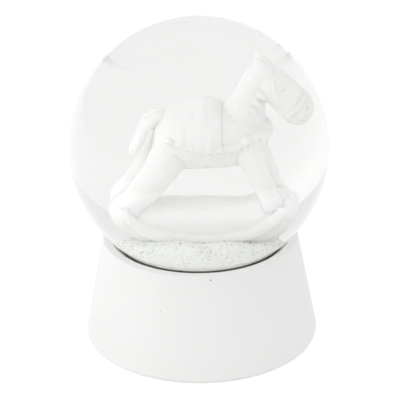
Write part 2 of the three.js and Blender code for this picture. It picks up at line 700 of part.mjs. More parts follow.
function pinnedCylinder() {
  const barrel = bar(CYLINDER_RADIUS, cylinderStart, cylinderEnd, 0, 0, 24);
  const bore = bar(AXLE_RADIUS + SHAFT_GAP, cylinderStart - 1, cylinderEnd + 1);
  const pins = [];
  for (let row = 0; row < PIN_ROWS; row += 1) {
    for (let i = 0; i < PINS_PER_ROW; i += 1) {
      const x = cylinderStart + 1 + ((CYLINDER_LENGTH - 2) * (row + 0.5)) / PIN_ROWS;
      const angle = (360 * (i + (row * 0.37) % 1)) / PINS_PER_ROW;
      const pin = block(x - 0.2, x + 0.2, -0.2, 0.2, CYLINDER_RADIUS - 0.3, CYLINDER_RADIUS + PIN_HEIGHT);
      pins.push(pin.rotate([angle, 0, 0]));
    }
  }
  return piece("pinned_cylinder", joined([barrel, ...pins]).subtract(bore), brass);
}

function cylinderGear() {
  const root = gearRadius - TOOTH_ROOT;
  const shape = gearShape(GEAR_TEETH, root, gearRadius + TOOTH_TIP, 0.45, meshAngle, AXLE_RADIUS + SHAFT_GAP);
  return piece("cylinder_gear", cheek(shape, gearStart, gearStart + GEAR_WIDTH), steel);
}

// A bearing bracket: a narrow upright with a round hole for a shaft along X.
function bracketShape(y, z, width, holeRadius) {
  const half = width / 2;
  const shape = new THREE.Shape();
  shape.moveTo(y - half, -axleHeight);
  shape.lineTo(y + half, -axleHeight);
  shape.lineTo(y + half, z);
  shape.absarc(y, z, half, 0, Math.PI);
  shape.lineTo(y - half, -axleHeight);
  shape.holes.push(new THREE.Path().absarc(y, z, holeRadius, 0, 2 * Math.PI, true));
  return shape;
}

function cylinderBearing(name, x) {
  const far = x + BRACKET_THICKNESS;
  const upright = cheek(bracketShape(0, 0, 5, AXLE_RADIUS + SHAFT_GAP), x, far);
  const foot = block(x, far, -4.5, 4.5, -axleHeight, -axleHeight + BRACKET_THICKNESS);
  return piece(name, upright.add(foot), brass);
}

// ---- comb
function comb() {
  const start = cylinderStart + 0.3;
  const pitch = (CYLINDER_LENGTH - 0.6) / COMB_TEETH;
  const slots = Array.from({ length: COMB_TEETH - 1 }, (_, i) => {
    const x = start + (i + 1) * pitch;
    return block(x - 0.12, x + 0.12, combRoot, combTip + 1, -COMB_THICKNESS, COMB_THICKNESS);
  });
  const holes = combScrewPlaces().map(([x, y]) => post(SCREW_RADIUS + SHAFT_GAP, -2, 2, x, y));
  const body = block(start, cylinderEnd - 0.3, combHeel, combTip, -COMB_THICKNESS / 2, COMB_THICKNESS / 2);
  return piece("comb", cut(body, [...slots, ...holes]), springSteel);
}

const combScrewPlaces = () => [0.22, 0.78].map((share) => [
  cylinderStart + share * CYLINDER_LENGTH,
  (combHeel + combRoot) / 2,
]);

function combBlock() {
  const top = -COMB_THICKNESS / 2;
  const body = block(cylinderStart - 0.5, cylinderEnd - 0.3, combHeel, combRoot - 0.6, -axleHeight, top);
  const holes = combScrewPlaces().map(([x, y]) => post(SCREW_RADIUS + SHAFT_GAP, top - 5, top + 1, x, y));
  return piece("comb_block", cut(body, holes), zincPlate);
}

function combScrews() {
  return combScrewPlaces().map(([x, y], i) => {
    const mesh = screw(`comb_screw_${i + 1}`, COMB_THICKNESS + COMB_SCREW_BITE);
    mesh.rotation.x = Math.PI;
    return at(x, y, COMB_THICKNESS / 2, mesh);
  });
}

// ---- governor
function governorWheel() {
  const pinionTooth = meshAngle + Math.PI + Math.PI / GOVERNOR_PINION_TEETH;
  const pinionRoot = governorPinionRadius - TOOTH_ROOT;
  const pinionTip = governorPinionRadius + TOOTH_TIP;
  const pinion = gearShape(GOVERNOR_PINION_TEETH, pinionRoot, pinionTip, 0.42, pinionTooth);
  const wheel = gearShape(GOVERNOR_WHEEL_TEETH, wheelRadius - TOOTH_ROOT, wheelRadius + TOOTH_TIP, 0.36, 0);
  const shaftStart = gearStart - TRAIN_GAP - BRACKET_THICKNESS / 2;
  const solid = joined([
    cheek(pinion, gearStart, gearStart + GEAR_WIDTH),
    cheek(wheel, wheelStart, wheelStart + WHEEL_WIDTH),
    bar(GOVERNOR_SHAFT_RADIUS, shaftStart, rightBearing + BRACKET_THICKNESS / 2),
  ]);
  return piece("governor_wheel", solid, brass);
}

class WormThread extends THREE.Curve {
  getPoint(t, target = new THREE.Vector3()) {
    const turns = WORM_TURNS * (t - 0.5);
    const angle = 2 * Math.PI * turns - Math.PI / 2; // it starts half a lead past the tooth that faces it
    const lead = Math.PI * GEAR_MODULE;
    return target.set(WORM_RADIUS * Math.cos(angle), WORM_RADIUS * Math.sin(angle), lead * (turns + 0.5));
  }
}

function governorWorm() {
  const section = new THREE.Shape().absarc(0, 0, WORM_WIRE, 0, 2 * Math.PI);
  const options = { steps: 12 * WORM_TURNS, curveSegments: 3, bevelEnabled: false };
  options.extrudePath = new WormThread();
  const thread = solidOf(new THREE.ExtrudeGeometry(section, options));
  const threadHalf = (Math.PI * GEAR_MODULE * WORM_TURNS) / 2;
  const shaft = post(WORM_SHAFT_RADIUS, -governorZ + BEARING_STEP + FIT_GAP, fanTop + BRACKET_THICKNESS / 2);
  const core = post(WORM_RADIUS - 0.2, -threadHalf, threadHalf + 1);
  return piece("governor_worm", joined([shaft, core, thread]), steel);
}

function governorFan() {
  const half = FAN_WIDTH / 2;
  const wings = block(-half, half, -0.3, 0.3, fanBottom, fanTop);
  const sleeve = post(2 * WORM_SHAFT_RADIUS, fanBottom, fanTop);
  const bore = post(WORM_SHAFT_RADIUS + SHAFT_GAP, fanBottom - 1, fanTop + 1);
  return piece("governor_fan", wings.add(sleeve).subtract(bore), whitePlastic);
}

// One folded bracket carries the governor's wheel between two cheeks and the worm between a foot and an arm.
function governorBracket() {
  const shaftHole = GOVERNOR_SHAFT_RADIUS + SHAFT_GAP;
  const earShape = bracketShape(governorY, -GOVERNOR_DROP, 3.2, shaftHole);
  const start = gearStart - TRAIN_GAP - BRACKET_THICKNESS;
  const near = wormX - 1.6;
  const end = bracketEnd;
  const front = wormY - 1.5;
  const foot = -axleHeight;
  const low = armLow - GOVERNOR_DROP;
  const top = armTop - GOVERNOR_DROP;
  const solid = joined([
    cheek(earShape, start, start + BRACKET_THICKNESS),
    cheek(earShape, rightBearing, rightBearing + BRACKET_THICKNESS),
    block(start, end, governorY - 1.2, bracketBack, foot, foot + BRACKET_THICKNESS / 2),
    block(near, end, front, bracketBack, foot, foot + BEARING_STEP),
    block(end - BRACKET_THICKNESS, end, front, bracketBack, foot, top),
    block(near, end, front, bracketBack, low, top),
  ]);
  const wormHole = post(WORM_SHAFT_RADIUS + SHAFT_GAP, low - 1, top + 1, wormX, wormY);
  return piece("governor_bracket", solid.subtract(wormHole), zincPlate);
}

function movement() {
  const winding = at(
    ARBOR_X, ARBOR_Y, 0,
    windingArbor(), crownWheel(), windingKey(), springHousing(), mainspring(),
  );
  const cylinderTrain = at(
    ARBOR_X, ARBOR_Y, axleHeight,
    cylinderPinion(), cylinderAxle(), pinnedCylinder(), cylinderGear(),
    cylinderBearing("bearing_left", leftBearing), cylinderBearing("bearing_right", rightBearing),
    comb(), combBlock(), ...combScrews(), governorBracket(),
    at(0, governorY, -GOVERNOR_DROP, governorWheel()),
    at(wormX, wormY, -GOVERNOR_DROP, governorWorm(), governorFan()),
  );
  return at(0, 0, bedTop, bedplate(), winding, cylinderTrain);
}

// ---- assembly
const globe = glassGlobe();
globe.position.z = globeCentre;

const group = new THREE.Group();
group.add(
  baseShell(), feltRing(), bottomPlate(), ...coverScrews(), ...movementScrews(),
  globe, globeSeal(), rubberPlug(), snowMound(), settledFlakes(), figurine(), liquid(),
  movement(),
);

export default group;
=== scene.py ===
import math
import random

import bmesh
import bpy
import numpy as np
from mathutils import Matrix, Vector, noise


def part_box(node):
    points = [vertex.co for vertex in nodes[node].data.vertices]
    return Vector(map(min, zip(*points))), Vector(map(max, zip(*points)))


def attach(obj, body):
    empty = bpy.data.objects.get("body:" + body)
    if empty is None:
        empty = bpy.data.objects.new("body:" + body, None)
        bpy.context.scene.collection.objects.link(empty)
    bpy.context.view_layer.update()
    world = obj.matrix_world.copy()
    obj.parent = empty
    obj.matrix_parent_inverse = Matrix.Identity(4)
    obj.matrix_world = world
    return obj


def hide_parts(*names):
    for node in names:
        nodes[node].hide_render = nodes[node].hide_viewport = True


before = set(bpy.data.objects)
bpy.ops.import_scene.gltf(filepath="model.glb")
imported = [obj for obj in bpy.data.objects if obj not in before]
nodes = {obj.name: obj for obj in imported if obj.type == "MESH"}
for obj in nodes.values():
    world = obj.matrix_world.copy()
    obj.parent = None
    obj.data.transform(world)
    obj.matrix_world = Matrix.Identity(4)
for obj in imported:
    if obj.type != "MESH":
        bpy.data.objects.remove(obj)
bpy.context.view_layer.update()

# ---- Base
# A hollow cone cast in white resin and sprayed with a silky white paint, with a lip round its mouth and a
# ledge and three bosses inside for the bottom plate. The turned wall is 4.5 mm thick and its edges are eased.
MM = 0.001


class Socket:
    """One output of a finish's node tree, or a part of an expression on values."""

    def __init__(self, finish, output):
        self.finish, self.output = finish, output

    def math(self, operation, *operands):
        return self.finish.node("Math", {"operation": operation}, dict(enumerate(operands)))

    def __add__(self, other):
        return self.math("ADD", self, other)

    def __sub__(self, other):
        return self.math("SUBTRACT", self, other)

    def __rsub__(self, other):
        return self.math("SUBTRACT", other, self)

    def __mul__(self, other):
        return self.math("MULTIPLY", self, other)

    def __gt__(self, other):
        return self.math("GREATER_THAN", self, other)

    def __lt__(self, other):
        return self.math("LESS_THAN", self, other)

    __radd__, __rmul__ = __add__, __mul__


class Finish:
    """A material built from nodes."""

    def __init__(self, name):
        self.material = bpy.data.materials.new(name)
        self.material.use_nodes = True
        self.tree = self.material.node_tree
        self.tree.nodes.clear()

    def node(self, kind, settings=None, sockets=None, out=0):
        made = self.tree.nodes.new("ShaderNode" + kind)
        for key, value in (settings or {}).items():
            if key == "stops":
                ramp = made.color_ramp
                while len(ramp.elements) < len(value):
                    ramp.elements.new(0.5)
                for element, (place, shade) in zip(ramp.elements, value):
                    element.position = place
                    element.color = (*shade, 1.0)
            else:
                setattr(made, key, value)
        for key, value in (sockets or {}).items():
            if isinstance(value, Socket):
                self.tree.links.new(value.output, made.inputs[key])
            elif isinstance(value, tuple) and len(value) == 3 and made.inputs[key].type == "RGBA":
                made.inputs[key].default_value = (*value, 1.0)
            else:
                made.inputs[key].default_value = value
        return Socket(self, made.outputs[out]) if len(made.outputs) else None

    def place(self):
        return self.node("TexCoord", out="Object")

    def coordinate(self, axis):
        return self.node("SeparateXYZ", {}, {"Vector": self.place()}, out=axis)

    def grain(self, scale, detail=3.0, roughness=0.5, vector=None):
        sockets = {"Scale": scale, "Detail": detail, "Roughness": roughness, "Vector": vector or self.place()}
        return self.node("TexNoise", {}, sockets)

    def ramp(self, factor, *stops):
        return self.node("ValToRGB", {"stops": stops}, {"Fac": factor})

    def blend(self, factor, first, second):
        sockets = {"Factor": factor, 6: first, 7: second}
        return self.node("Mix", {"data_type": "RGBA"}, sockets, out=2)

    def level(self, factor, low, high, start=0.0, end=1.0):
        sockets = {"Value": factor, "From Min": start, "From Max": end, "To Min": low, "To Max": high}
        return self.node("MapRange", {}, sockets)

    def bump(self, height, distance, strength=1.0):
        return self.node("Bump", {}, {"Height": height, "Distance": distance, "Strength": strength})

    def shell(self, **sockets):
        """The principled surface; a socket's name has underscores for its spaces."""
        named = {key.replace("_", " "): value for key, value in sockets.items()}
        self.surface(self.node("BsdfPrincipled", {}, named))

    def surface(self, shader):
        self.node("OutputMaterial", {}, {"Surface": shader})


def in_scene(name, data):
    """A new object, linked to the scene."""
    made = bpy.data.objects.new(name, data)
    bpy.context.scene.collection.objects.link(made)
    return made


def fresh_mesh(name, points, faces, finish, slot, body="globe_and_base", smooth=True):
    """A piece from points in millimetres, which rides on a body."""
    mesh = bpy.data.meshes.new(name)
    mesh.from_pydata([tuple(c * MM for c in point) for point in points], [], faces)
    mesh.update()
    mesh.materials.append(finish.material)
    for polygon in mesh.polygons:
        polygon.use_smooth = smooth
    piece = in_scene(name, mesh)
    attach(piece, body)
    return piece


def eased(corners, steps=5):
    """An outline of (radius, height, easing) corners with each corner rounded by its easing."""
    outline = []
    count = len(corners)
    for i, (x, z, *ease) in enumerate(corners):
        here = Vector((x, z))
        if not ease or not ease[0]:
            outline.append((x, z))
            continue
        before = Vector(corners[i - 1][:2]) - here
        after = Vector(corners[(i + 1) % count][:2]) - here
        half = before.angle(after) / 2
        reach = min(ease[0] / math.tan(half), before.length * 0.49, after.length * 0.49)
        start, end = here + before.normalized() * reach, here + after.normalized() * reach
        for step in range(steps + 1):
            t = step / steps
            outline.append(tuple((1 - t) ** 2 * start + 2 * t * (1 - t) * here + t ** 2 * end))
    return outline


def turned(outline, segments=192):
    """Points and faces of a closed outline turned about Z; a corner on the axis becomes one point."""
    points, rings = [], []
    for radius, height in outline:
        if radius < 1e-6:
            rings.append([len(points)] * segments)
            points.append((0.0, 0.0, height))
            continue
        rings.append(list(range(len(points), len(points) + segments)))
        for i in range(segments):
            angle = math.tau * i / segments
            points.append((radius * math.cos(angle), radius * math.sin(angle), height))
    faces = []
    for k, ring in enumerate(rings):
        following = rings[(k + 1) % len(rings)]
        for i in range(segments):
            j = (i + 1) % segments
            face = list(dict.fromkeys((ring[i], ring[j], following[j], following[i])))
            if len(face) > 2:
                faces.append(face)
    area = sum(a[0] * b[1] - b[0] * a[1] for a, b in zip(outline, outline[1:] + outline[:1]))
    return points, [face[::-1] for face in faces] if area < 0 else faces


def sharpen(piece, degrees=35):
    """Shades a piece smooth except across edges steeper than this."""
    for polygon in piece.data.polygons:
        polygon.use_smooth = True
    piece.data.update()
    piece.data.set_sharp_from_angle(angle=math.radians(degrees))


def baked(piece, *modifiers):
    """Applies modifiers, given as (type, settings), to a piece's mesh."""
    for kind, settings in modifiers:
        modifier = piece.modifiers.new(kind.title(), kind)
        for key, value in settings.items():
            setattr(modifier, key, value)
    bpy.context.view_layer.update()
    graph = bpy.context.evaluated_depsgraph_get()
    mesh = bpy.data.meshes.new_from_object(piece.evaluated_get(graph))
    piece.modifiers.clear()
    piece.data = mesh


def box_of(name):
    """The low and high corners of a CAD piece, in millimetres."""
    low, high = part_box(name)
    return low / MM, high / MM


shell_low, shell_high = box_of("base_shell")
seal_low, seal_high = box_of("globe_seal")
plate_low, plate_high = box_of("bottom_plate")
FOOT_RADIUS = shell_high.x
FIT = 0.3
MOUTH_RADIUS = seal_high.x + FIT
LIP_RADIUS = MOUTH_RADIUS + 3.75
MOUTH = shell_high.z
WALL = 4.5
DECK_TOP = box_of("rubber_plug")[0].z
DECK_BOTTOM = DECK_TOP - 3.0
DECK_HOLE = 30.0
RECESS_RADIUS = plate_high.x + FIT
BOSS_CIRCLE = box_of("cover_screw_1")[0].x + 2.7
BOSS_RADIUS, BOSS_HEIGHT, RIB_THICKNESS = 4.2, 11.0, 3.0
PILOT_RADIUS, PILOT_DEPTH = 1.6, 9.0


def wall_at(height):
    """Radius of the cone's outside at a height."""
    share = (height - shell_low.z) / (MOUTH - shell_low.z)
    return FOOT_RADIUS + (LIP_RADIUS - FOOT_RADIUS) * share


cast_white = Finish("cast_white")
pores = cast_white.grain(900.0, 2.0)
clouds = cast_white.grain(14.0, 3.0)
peel = cast_white.grain(420.0, 2.0)
paint = cast_white.ramp(clouds, (0.3, (0.755, 0.755, 0.747)), (0.7, (0.79, 0.79, 0.783)))
# A speck of dust caught in the paint under the lip, and two smaller ones.
specks = None
for x, y, z, radius in ((4.0, -42.35, 44.0, 0.38), (-17.0, -42.2, 30.0, 0.3), (24.0, -41.6, 20.0, 0.26)):
    sockets = {0: cast_white.place(), 1: (x * MM, y * MM, z * MM)}
    speck = cast_white.node("VectorMath", {"operation": "DISTANCE"}, sockets, out=1) < radius * MM
    specks = speck if specks is None else specks + speck
cast_white.shell(
    Base_Color=cast_white.blend(specks, paint, (0.38, 0.36, 0.31)),
    Roughness=cast_white.level(clouds, 0.4, 0.52),
    Specular_IOR_Level=0.4,
    Normal=cast_white.bump(pores * 0.4 + peel * 0.6, 0.00005, 0.35),
)

base_outline = eased([
    (FOOT_RADIUS, shell_low.z, 0.9),
    (LIP_RADIUS, MOUTH, 0.7),
    (MOUTH_RADIUS, MOUTH, 0.5),
    (MOUTH_RADIUS, DECK_TOP, 0.6),
    (DECK_HOLE, DECK_TOP, 0.4),
    (DECK_HOLE, DECK_BOTTOM, 0.4),
    (wall_at(DECK_BOTTOM) - WALL, DECK_BOTTOM, 1.2),
    (wall_at(plate_high.z) - WALL, plate_high.z, 0.3),
    (RECESS_RADIUS, plate_high.z, 0.4),
    (RECESS_RADIUS, shell_low.z, 0.5),
])
base = fresh_mesh("base_shell_cast", *turned(base_outline), cast_white, "cast_white")


def round_bar(x, y, low, high, radius, segments=48):
    """An upright bar as a solid to join or cut with."""
    mesh = bmesh.new()
    bmesh.ops.create_cone(
        mesh, cap_ends=True, segments=segments, radius1=radius * MM, radius2=radius * MM,
        depth=(high - low) * MM, matrix=Matrix.Translation((x * MM, y * MM, (low + high) / 2 * MM)),
    )
    return mesh


def carve(piece, tools, operation):
    """Joins bmesh solids to a piece, or cuts them out of it."""
    for tool in tools:
        mesh = bpy.data.meshes.new("tool")
        tool.to_mesh(mesh)
        tool.free()
        helper = in_scene("tool", mesh)
        baked(piece, ("BOOLEAN", {"operation": operation, "object": helper, "solver": "EXACT"}))
        bpy.data.objects.remove(helper)


bosses, pilots = [], []
for i in range(3):
    angle = math.tau * i / 3
    x, y = BOSS_CIRCLE * math.cos(angle), BOSS_CIRCLE * math.sin(angle)
    reach = wall_at(plate_high.z + BOSS_HEIGHT) - WALL / 2
    middle = ((BOSS_CIRCLE + reach) / 2 * MM, 0, (plate_high.z + BOSS_HEIGHT / 2) * MM)
    size = ((reach - BOSS_CIRCLE) * MM, RIB_THICKNESS * MM, BOSS_HEIGHT * MM, 1.0)
    place = Matrix.Rotation(angle, 4, "Z") @ Matrix.Translation(middle) @ Matrix.Diagonal(size)
    rib = bmesh.new()
    bmesh.ops.create_cube(rib, size=1.0, matrix=place)
    bosses += [round_bar(x, y, plate_high.z, plate_high.z + BOSS_HEIGHT, BOSS_RADIUS), rib]
    pilots.append(round_bar(x, y, plate_high.z - 1.0, plate_high.z + PILOT_DEPTH, PILOT_RADIUS, 24))
carve(base, bosses, "UNION")
carve(base, pilots, "DIFFERENCE")
sharpen(base)
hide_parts("base_shell")

# ---- Felt ring
# A ring of pale wool felt glued under the rim, so that the base slides on a shelf without marking it. It is
# die cut, and its face and edges are a little fuzzy.
felt_high = box_of("felt_ring")[1]
FELT_INNER = RECESS_RADIUS + 0.8
FELT_FOOT = 0.06


def ruffled(point):
    """A point of the felt moved a little up or down, and in or out."""
    x, y, z = point
    z += 0.05 * noise.noise(Vector(point) / 0.7)
    swell = 1 + 0.0012 * noise.noise(Vector((x, y, z)) * 1.7)
    return x * swell, y * swell, max(z, 0.0)


felt = Finish("wool_felt")
fibres = felt.grain(1500.0, 4.0, 0.7)
tufts = felt.grain(160.0, 3.0)
felt.shell(
    Base_Color=felt.ramp(fibres * 0.6 + tufts * 0.4, (0.3, (0.74, 0.735, 0.715)), (0.7, (0.87, 0.865, 0.85))),
    Roughness=0.95,
    Sheen_Weight=0.35,
    Sheen_Roughness=0.5,
    Normal=felt.bump(fibres, 0.0002, 0.7),
)
ring_width = felt_high.x - FELT_INNER
rings = [(FELT_INNER + ring_width * k / 6, felt_high.z) for k in range(7)]
rings += [(FELT_INNER + ring_width * k / 6, FELT_FOOT) for k in range(6, -1, -1)]
felt_points, felt_faces = turned(rings, 240)
felt_points = [ruffled(point) for point in felt_points]
felt_ring = fresh_mesh("felt_ring_fuzzy", felt_points, felt_faces, felt, "felt")
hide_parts("felt_ring")

# ---- Bottom plate
# A disc of white-lacquered fibre board drilled for the screws, the sound and the winding arbor. Its sawn edges
# show a little of the brown board. It closes the base and carries the movement.
board = Finish("lacquered_board")
stipple = board.grain(700.0, 3.0)
stains = board.grain(30.0, 4.0)
height = board.coordinate(2)
lacquer = board.ramp(stains, (0.35, (0.7, 0.69, 0.66)), (0.65, (0.77, 0.76, 0.73)))
LACQUERED_EDGE = 0.35
above = height > (plate_low.z + LACQUERED_EDGE) * MM
below = height < (plate_high.z - LACQUERED_EDGE) * MM
board.shell(
    Base_Color=board.blend(above * below * 0.55, lacquer, (0.45, 0.34, 0.22)),
    Roughness=board.level(stains, 0.5, 0.65),
    Normal=board.bump(stipple, 0.00008, 0.5),
)


def dress(name, finish):
    """Gives a piece that keeps its CAD shape its finish."""
    materials = nodes[name].data.materials
    materials.clear()
    materials.append(finish.material)


dress("bottom_plate", board)

# ---- Screws
# Nickel-plated steel pan-head screws with a slot: three hold the bottom plate to the base, three hold the
# movement to the bottom plate, and two hold the comb. Heads are turned and the slot is sawn.
HEAD_RADIUS, HEAD_HEIGHT = 2.68, 1.5
THREAD_CORE, THREAD_CREST, THREAD_PITCH = 1.04, 1.28, 0.62
SLOT_BOX, SLOT_LIFT = (7.0, 0.75, 1.9), 0.18
nickel = Finish("nickel_plated_steel")
lathe_marks = nickel.grain(260.0, 2.0)
scuffs = nickel.grain(900.0, 4.0)
nickel.shell(
    Base_Color=nickel.ramp(lathe_marks, (0.3, (0.56, 0.56, 0.55)), (0.7, (0.67, 0.67, 0.66))),
    Metallic=1.0,
    Roughness=nickel.level(scuffs, 0.22, 0.42),
    Normal=nickel.bump(scuffs, 0.00003, 0.3),
)


def screw(name, head_up):
    """A pan-head screw in the place of a CAD screw; its head is at the low end unless head_up."""
    low, high = box_of(name)
    x, y, length = (low.x + high.x) / 2, (low.y + high.y) / 2, high.z - low.z
    outline = [
        (0, 0, 0), (2.05, 0, 0.5), (HEAD_RADIUS, HEAD_HEIGHT / 2, 0.35), (HEAD_RADIUS, HEAD_HEIGHT, 0.1),
        (1.3, HEAD_HEIGHT, 0.15),
    ]
    for k in range(int((length - 2.4) / THREAD_PITCH)):
        start = 1.9 + THREAD_PITCH * k
        outline += [(THREAD_CORE, start + 0.12), (THREAD_CREST, start + 0.34), (THREAD_CREST, start + 0.42)]
    outline += [(THREAD_CORE, length - 0.3), (0.7, length), (0, length)]
    points, faces = turned(eased(outline, 3), 48)
    side = -1 if head_up else 1
    start = high.z if head_up else low.z
    points = [(x + px, y + py * side, start + pz * side) for px, py, pz in points]
    piece = fresh_mesh(name + "_turned", points, faces, nickel, "steel")
    slot = bmesh.new()
    middle = (x * MM, y * MM, (start - side * SLOT_LIFT) * MM)
    place = Matrix.Translation(middle) @ Matrix.Rotation(x + y, 4, "Z")
    bmesh.ops.create_cube(slot, size=1.0, matrix=place @ Matrix.Diagonal([c * MM for c in SLOT_BOX] + [1]))
    carve(piece, [slot], "DIFFERENCE")
    sharpen(piece)
    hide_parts(name)


for i in range(1, 4):
    screw(f"cover_screw_{i}", False)
    screw(f"movement_screw_{i}", False)
for i in (1, 2):
    screw(f"comb_screw_{i}", True)

# ---- Movement
# An 18-note movement: a brass bedplate and barrel, a pinned brass cylinder, a spring-steel comb on a zinc block,
# and a train of steel and plastic wheels up to the governor's fan. Parts are stamped, turned and pressed.
brass = Finish("brushed_brass")
brushing = brass.node("Mapping", {}, {"Vector": brass.place(), "Scale": (1.0, 24.0, 24.0)})
strokes = brass.grain(120.0, 3.0, 0.6, brushing)
tarnish = brass.grain(60.0, 3.0)
brass.shell(
    Base_Color=brass.ramp(tarnish, (0.3, (0.62, 0.44, 0.18)), (0.7, (0.78, 0.58, 0.27))),
    Metallic=1.0,
    Roughness=brass.level(strokes, 0.22, 0.45),
    Normal=brass.bump(strokes, 0.00002, 0.4),
)
spring_steel = Finish("spring_steel")
oil = spring_steel.grain(45.0, 3.0)
spring_steel.shell(
    Base_Color=spring_steel.ramp(oil, (0.3, (0.2, 0.22, 0.26)), (0.7, (0.36, 0.38, 0.42))),
    Metallic=1.0,
    Roughness=spring_steel.level(oil, 0.2, 0.4),
    Normal=spring_steel.bump(spring_steel.grain(700.0), 0.00002, 0.3),
)
zinc = Finish("cast_zinc")
castings = zinc.grain(240.0, 4.0)
zinc.shell(
    Base_Color=zinc.ramp(castings, (0.3, (0.4, 0.41, 0.43)), (0.7, (0.54, 0.55, 0.57))),
    Metallic=1.0,
    Roughness=zinc.level(castings, 0.35, 0.55),
    Normal=zinc.bump(castings, 0.00005, 0.5),
)
plastic = Finish("moulded_white_plastic")
flow = plastic.grain(35.0, 2.0)
plastic.shell(
    Base_Color=plastic.ramp(flow, (0.3, (0.8, 0.79, 0.74)), (0.7, (0.86, 0.85, 0.81))),
    Roughness=plastic.level(flow, 0.35, 0.5),
    Subsurface_Weight=0.05,
    Normal=plastic.bump(plastic.grain(500.0), 0.00003, 0.3),
)
movement_finishes = {
    brass: ("bedplate", "spring_housing", "pinned_cylinder", "bearing_left", "bearing_right", "governor_wheel"),
    spring_steel: ("comb", "mainspring"),
    zinc: ("comb_block", "governor_bracket"),
    nickel: ("winding_arbor", "cylinder_axle", "cylinder_gear", "governor_worm"),
    plastic: ("crown_wheel", "cylinder_pinion", "governor_fan"),
}
for finish, names in movement_finishes.items():
    for name in names:
        dress(name, finish)

# ---- Winding key
# A pressed steel wing key screwed on the winding arbor: two rounded wings with a dished middle on a turned hub.
# It is nickel plated, and it is turned by hand under the base.
key_low, key_high = box_of("winding_key")
KEY_X, KEY_Y = (key_low.x + key_high.x) / 2, (key_low.y + key_high.y) / 2
KEY_HALF = (key_high.x - key_low.x) / 2
WING_LOW, WING_HIGH = key_low.z, plate_low.z - 1.6
WING_SHEET, BEAD, DISH = 0.66, 0.32, 0.22
HUB_RADIUS, HUB_BORE = 3.2, 2.1
wing_middle, wing_half = (WING_LOW + WING_HIGH) / 2, (WING_HIGH - WING_LOW) / 2


def wing_height(x):
    """Half the height of the wing at a distance from the hub, as a share: a waist, then a round end."""
    u = abs(x) / KEY_HALF
    waist = 0.62 + 0.38 * min(1.0, u / 0.45) ** 1.6 if u < 0.45 else 1.0
    end = math.sqrt(max(0.0, 1 - ((u - 0.62) / 0.38) ** 2)) ** 0.75 if u > 0.62 else 1.0
    return wing_half * waist * end


columns = [KEY_HALF * math.sin(math.pi / 2 * k / 30) for k in range(-30, 31)]
rows = 17
key_points, key_faces = [], []
for side in (-1, 1):
    for x in columns:
        half = max(wing_height(x), 0.05)
        for k in range(rows):
            v = 2 * k / (rows - 1) - 1
            bead = BEAD * math.exp(-((abs(v) - 0.86) / 0.12) ** 2)
            dish = DISH * math.exp(-((abs(x) - 8) / 3.2) ** 2 - (v / 0.5) ** 2)
            rim = 1 - max(0.0, abs(v) - 0.93) / 0.07 * 0.55
            edge = min(1.0, math.sqrt(max(0.0, 1 - abs(x) / KEY_HALF)) * 2.6 + 0.35)
            thick = (WING_SHEET + bead - dish) * rim * edge
            key_points.append((KEY_X + x, KEY_Y + side * thick, wing_middle + v * half))
per_side = len(columns) * rows
for side in (0, 1):
    for i in range(len(columns) - 1):
        for k in range(rows - 1):
            a = side * per_side + i * rows + k
            face = (a, a + rows, a + rows + 1, a + 1)
            key_faces.append(face if side == 0 else face[::-1])
border = [i * rows for i in range(len(columns))]
border += [(len(columns) - 1) * rows + k for k in range(1, rows)]
border += [i * rows + rows - 1 for i in range(len(columns) - 2, -1, -1)]
border += list(range(rows - 2, 0, -1))
for i, a in enumerate(border):
    b = border[(i + 1) % len(border)]
    key_faces.append((b, a, a + per_side, b + per_side))
key = fresh_mesh("winding_key_pressed", key_points, key_faces, nickel, "steel", "winding_train")
hub_outline = [
    (0, WING_LOW + 1.1, 0), (2.5, WING_LOW + 1.1, 0.6), (HUB_RADIUS, WING_LOW + 2.4, 0.5),
    (HUB_RADIUS, key_high.z - 1.2, 0.3), (2.9, key_high.z, 0.3), (HUB_BORE, key_high.z, 0.1),
    (HUB_BORE, key_high.z - 5.2, 0), (0, key_high.z - 5.2, 0),
]
hub_points, hub_faces = turned(eased(hub_outline, 4), 64)
hub = bmesh.new()
hub_corners = [hub.verts.new(((KEY_X + x) * MM, (KEY_Y + y) * MM, z * MM)) for x, y, z in hub_points]
for face in hub_faces:
    hub.faces.new([hub_corners[i] for i in face])
carve(key, [hub], "UNION")
sharpen(key, 50)
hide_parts("winding_key")

# ---- Rubber plug
# A moulded dark olive rubber bung with a flange, pressed into the glass neck to hold the liquid in. Its rim stands
# up round the snow mound and shows through the glass as the dark line at the mouth.
plug_low, plug_high = box_of("rubber_plug")
GLASS_WALL = 2.2
NECK_OUTER, NECK_INNER = plug_high.x, plug_high.x - GLASS_WALL
PLUG_BODY, PLUG_WALL, FLANGE = NECK_INNER - 0.3, 7.0, 2.5
PLUG_RIM, PLUG_RIM_TOP = 31.6, plug_high.z + 2.1
PLUG_HOLLOW = plug_high.z - 3.5
rubber = Finish("dark_rubber")
bloom = rubber.grain(120.0, 4.0)
rubber.shell(
    Base_Color=rubber.ramp(bloom, (0.3, (0.1, 0.11, 0.08)), (0.7, (0.17, 0.18, 0.14))),
    Roughness=rubber.level(bloom, 0.45, 0.7),
    Normal=rubber.bump(rubber.grain(500.0), 0.00006, 0.4),
)
plug_outline = eased([
    (0, plug_high.z, 0), (0, PLUG_HOLLOW, 0), (PLUG_BODY - PLUG_WALL, PLUG_HOLLOW, 0.8),
    (PLUG_BODY - PLUG_WALL, plug_low.z, 0.5), (NECK_OUTER, plug_low.z, 0.4), (NECK_OUTER, plug_low.z + FLANGE, 0.4),
    (PLUG_BODY, plug_low.z + FLANGE, 0.3), (PLUG_BODY, PLUG_RIM_TOP, 0.9), (PLUG_RIM, PLUG_RIM_TOP, 0.5),
    (PLUG_RIM, plug_high.z, 0.2),
])
plug_points, plug_faces = turned(plug_outline)
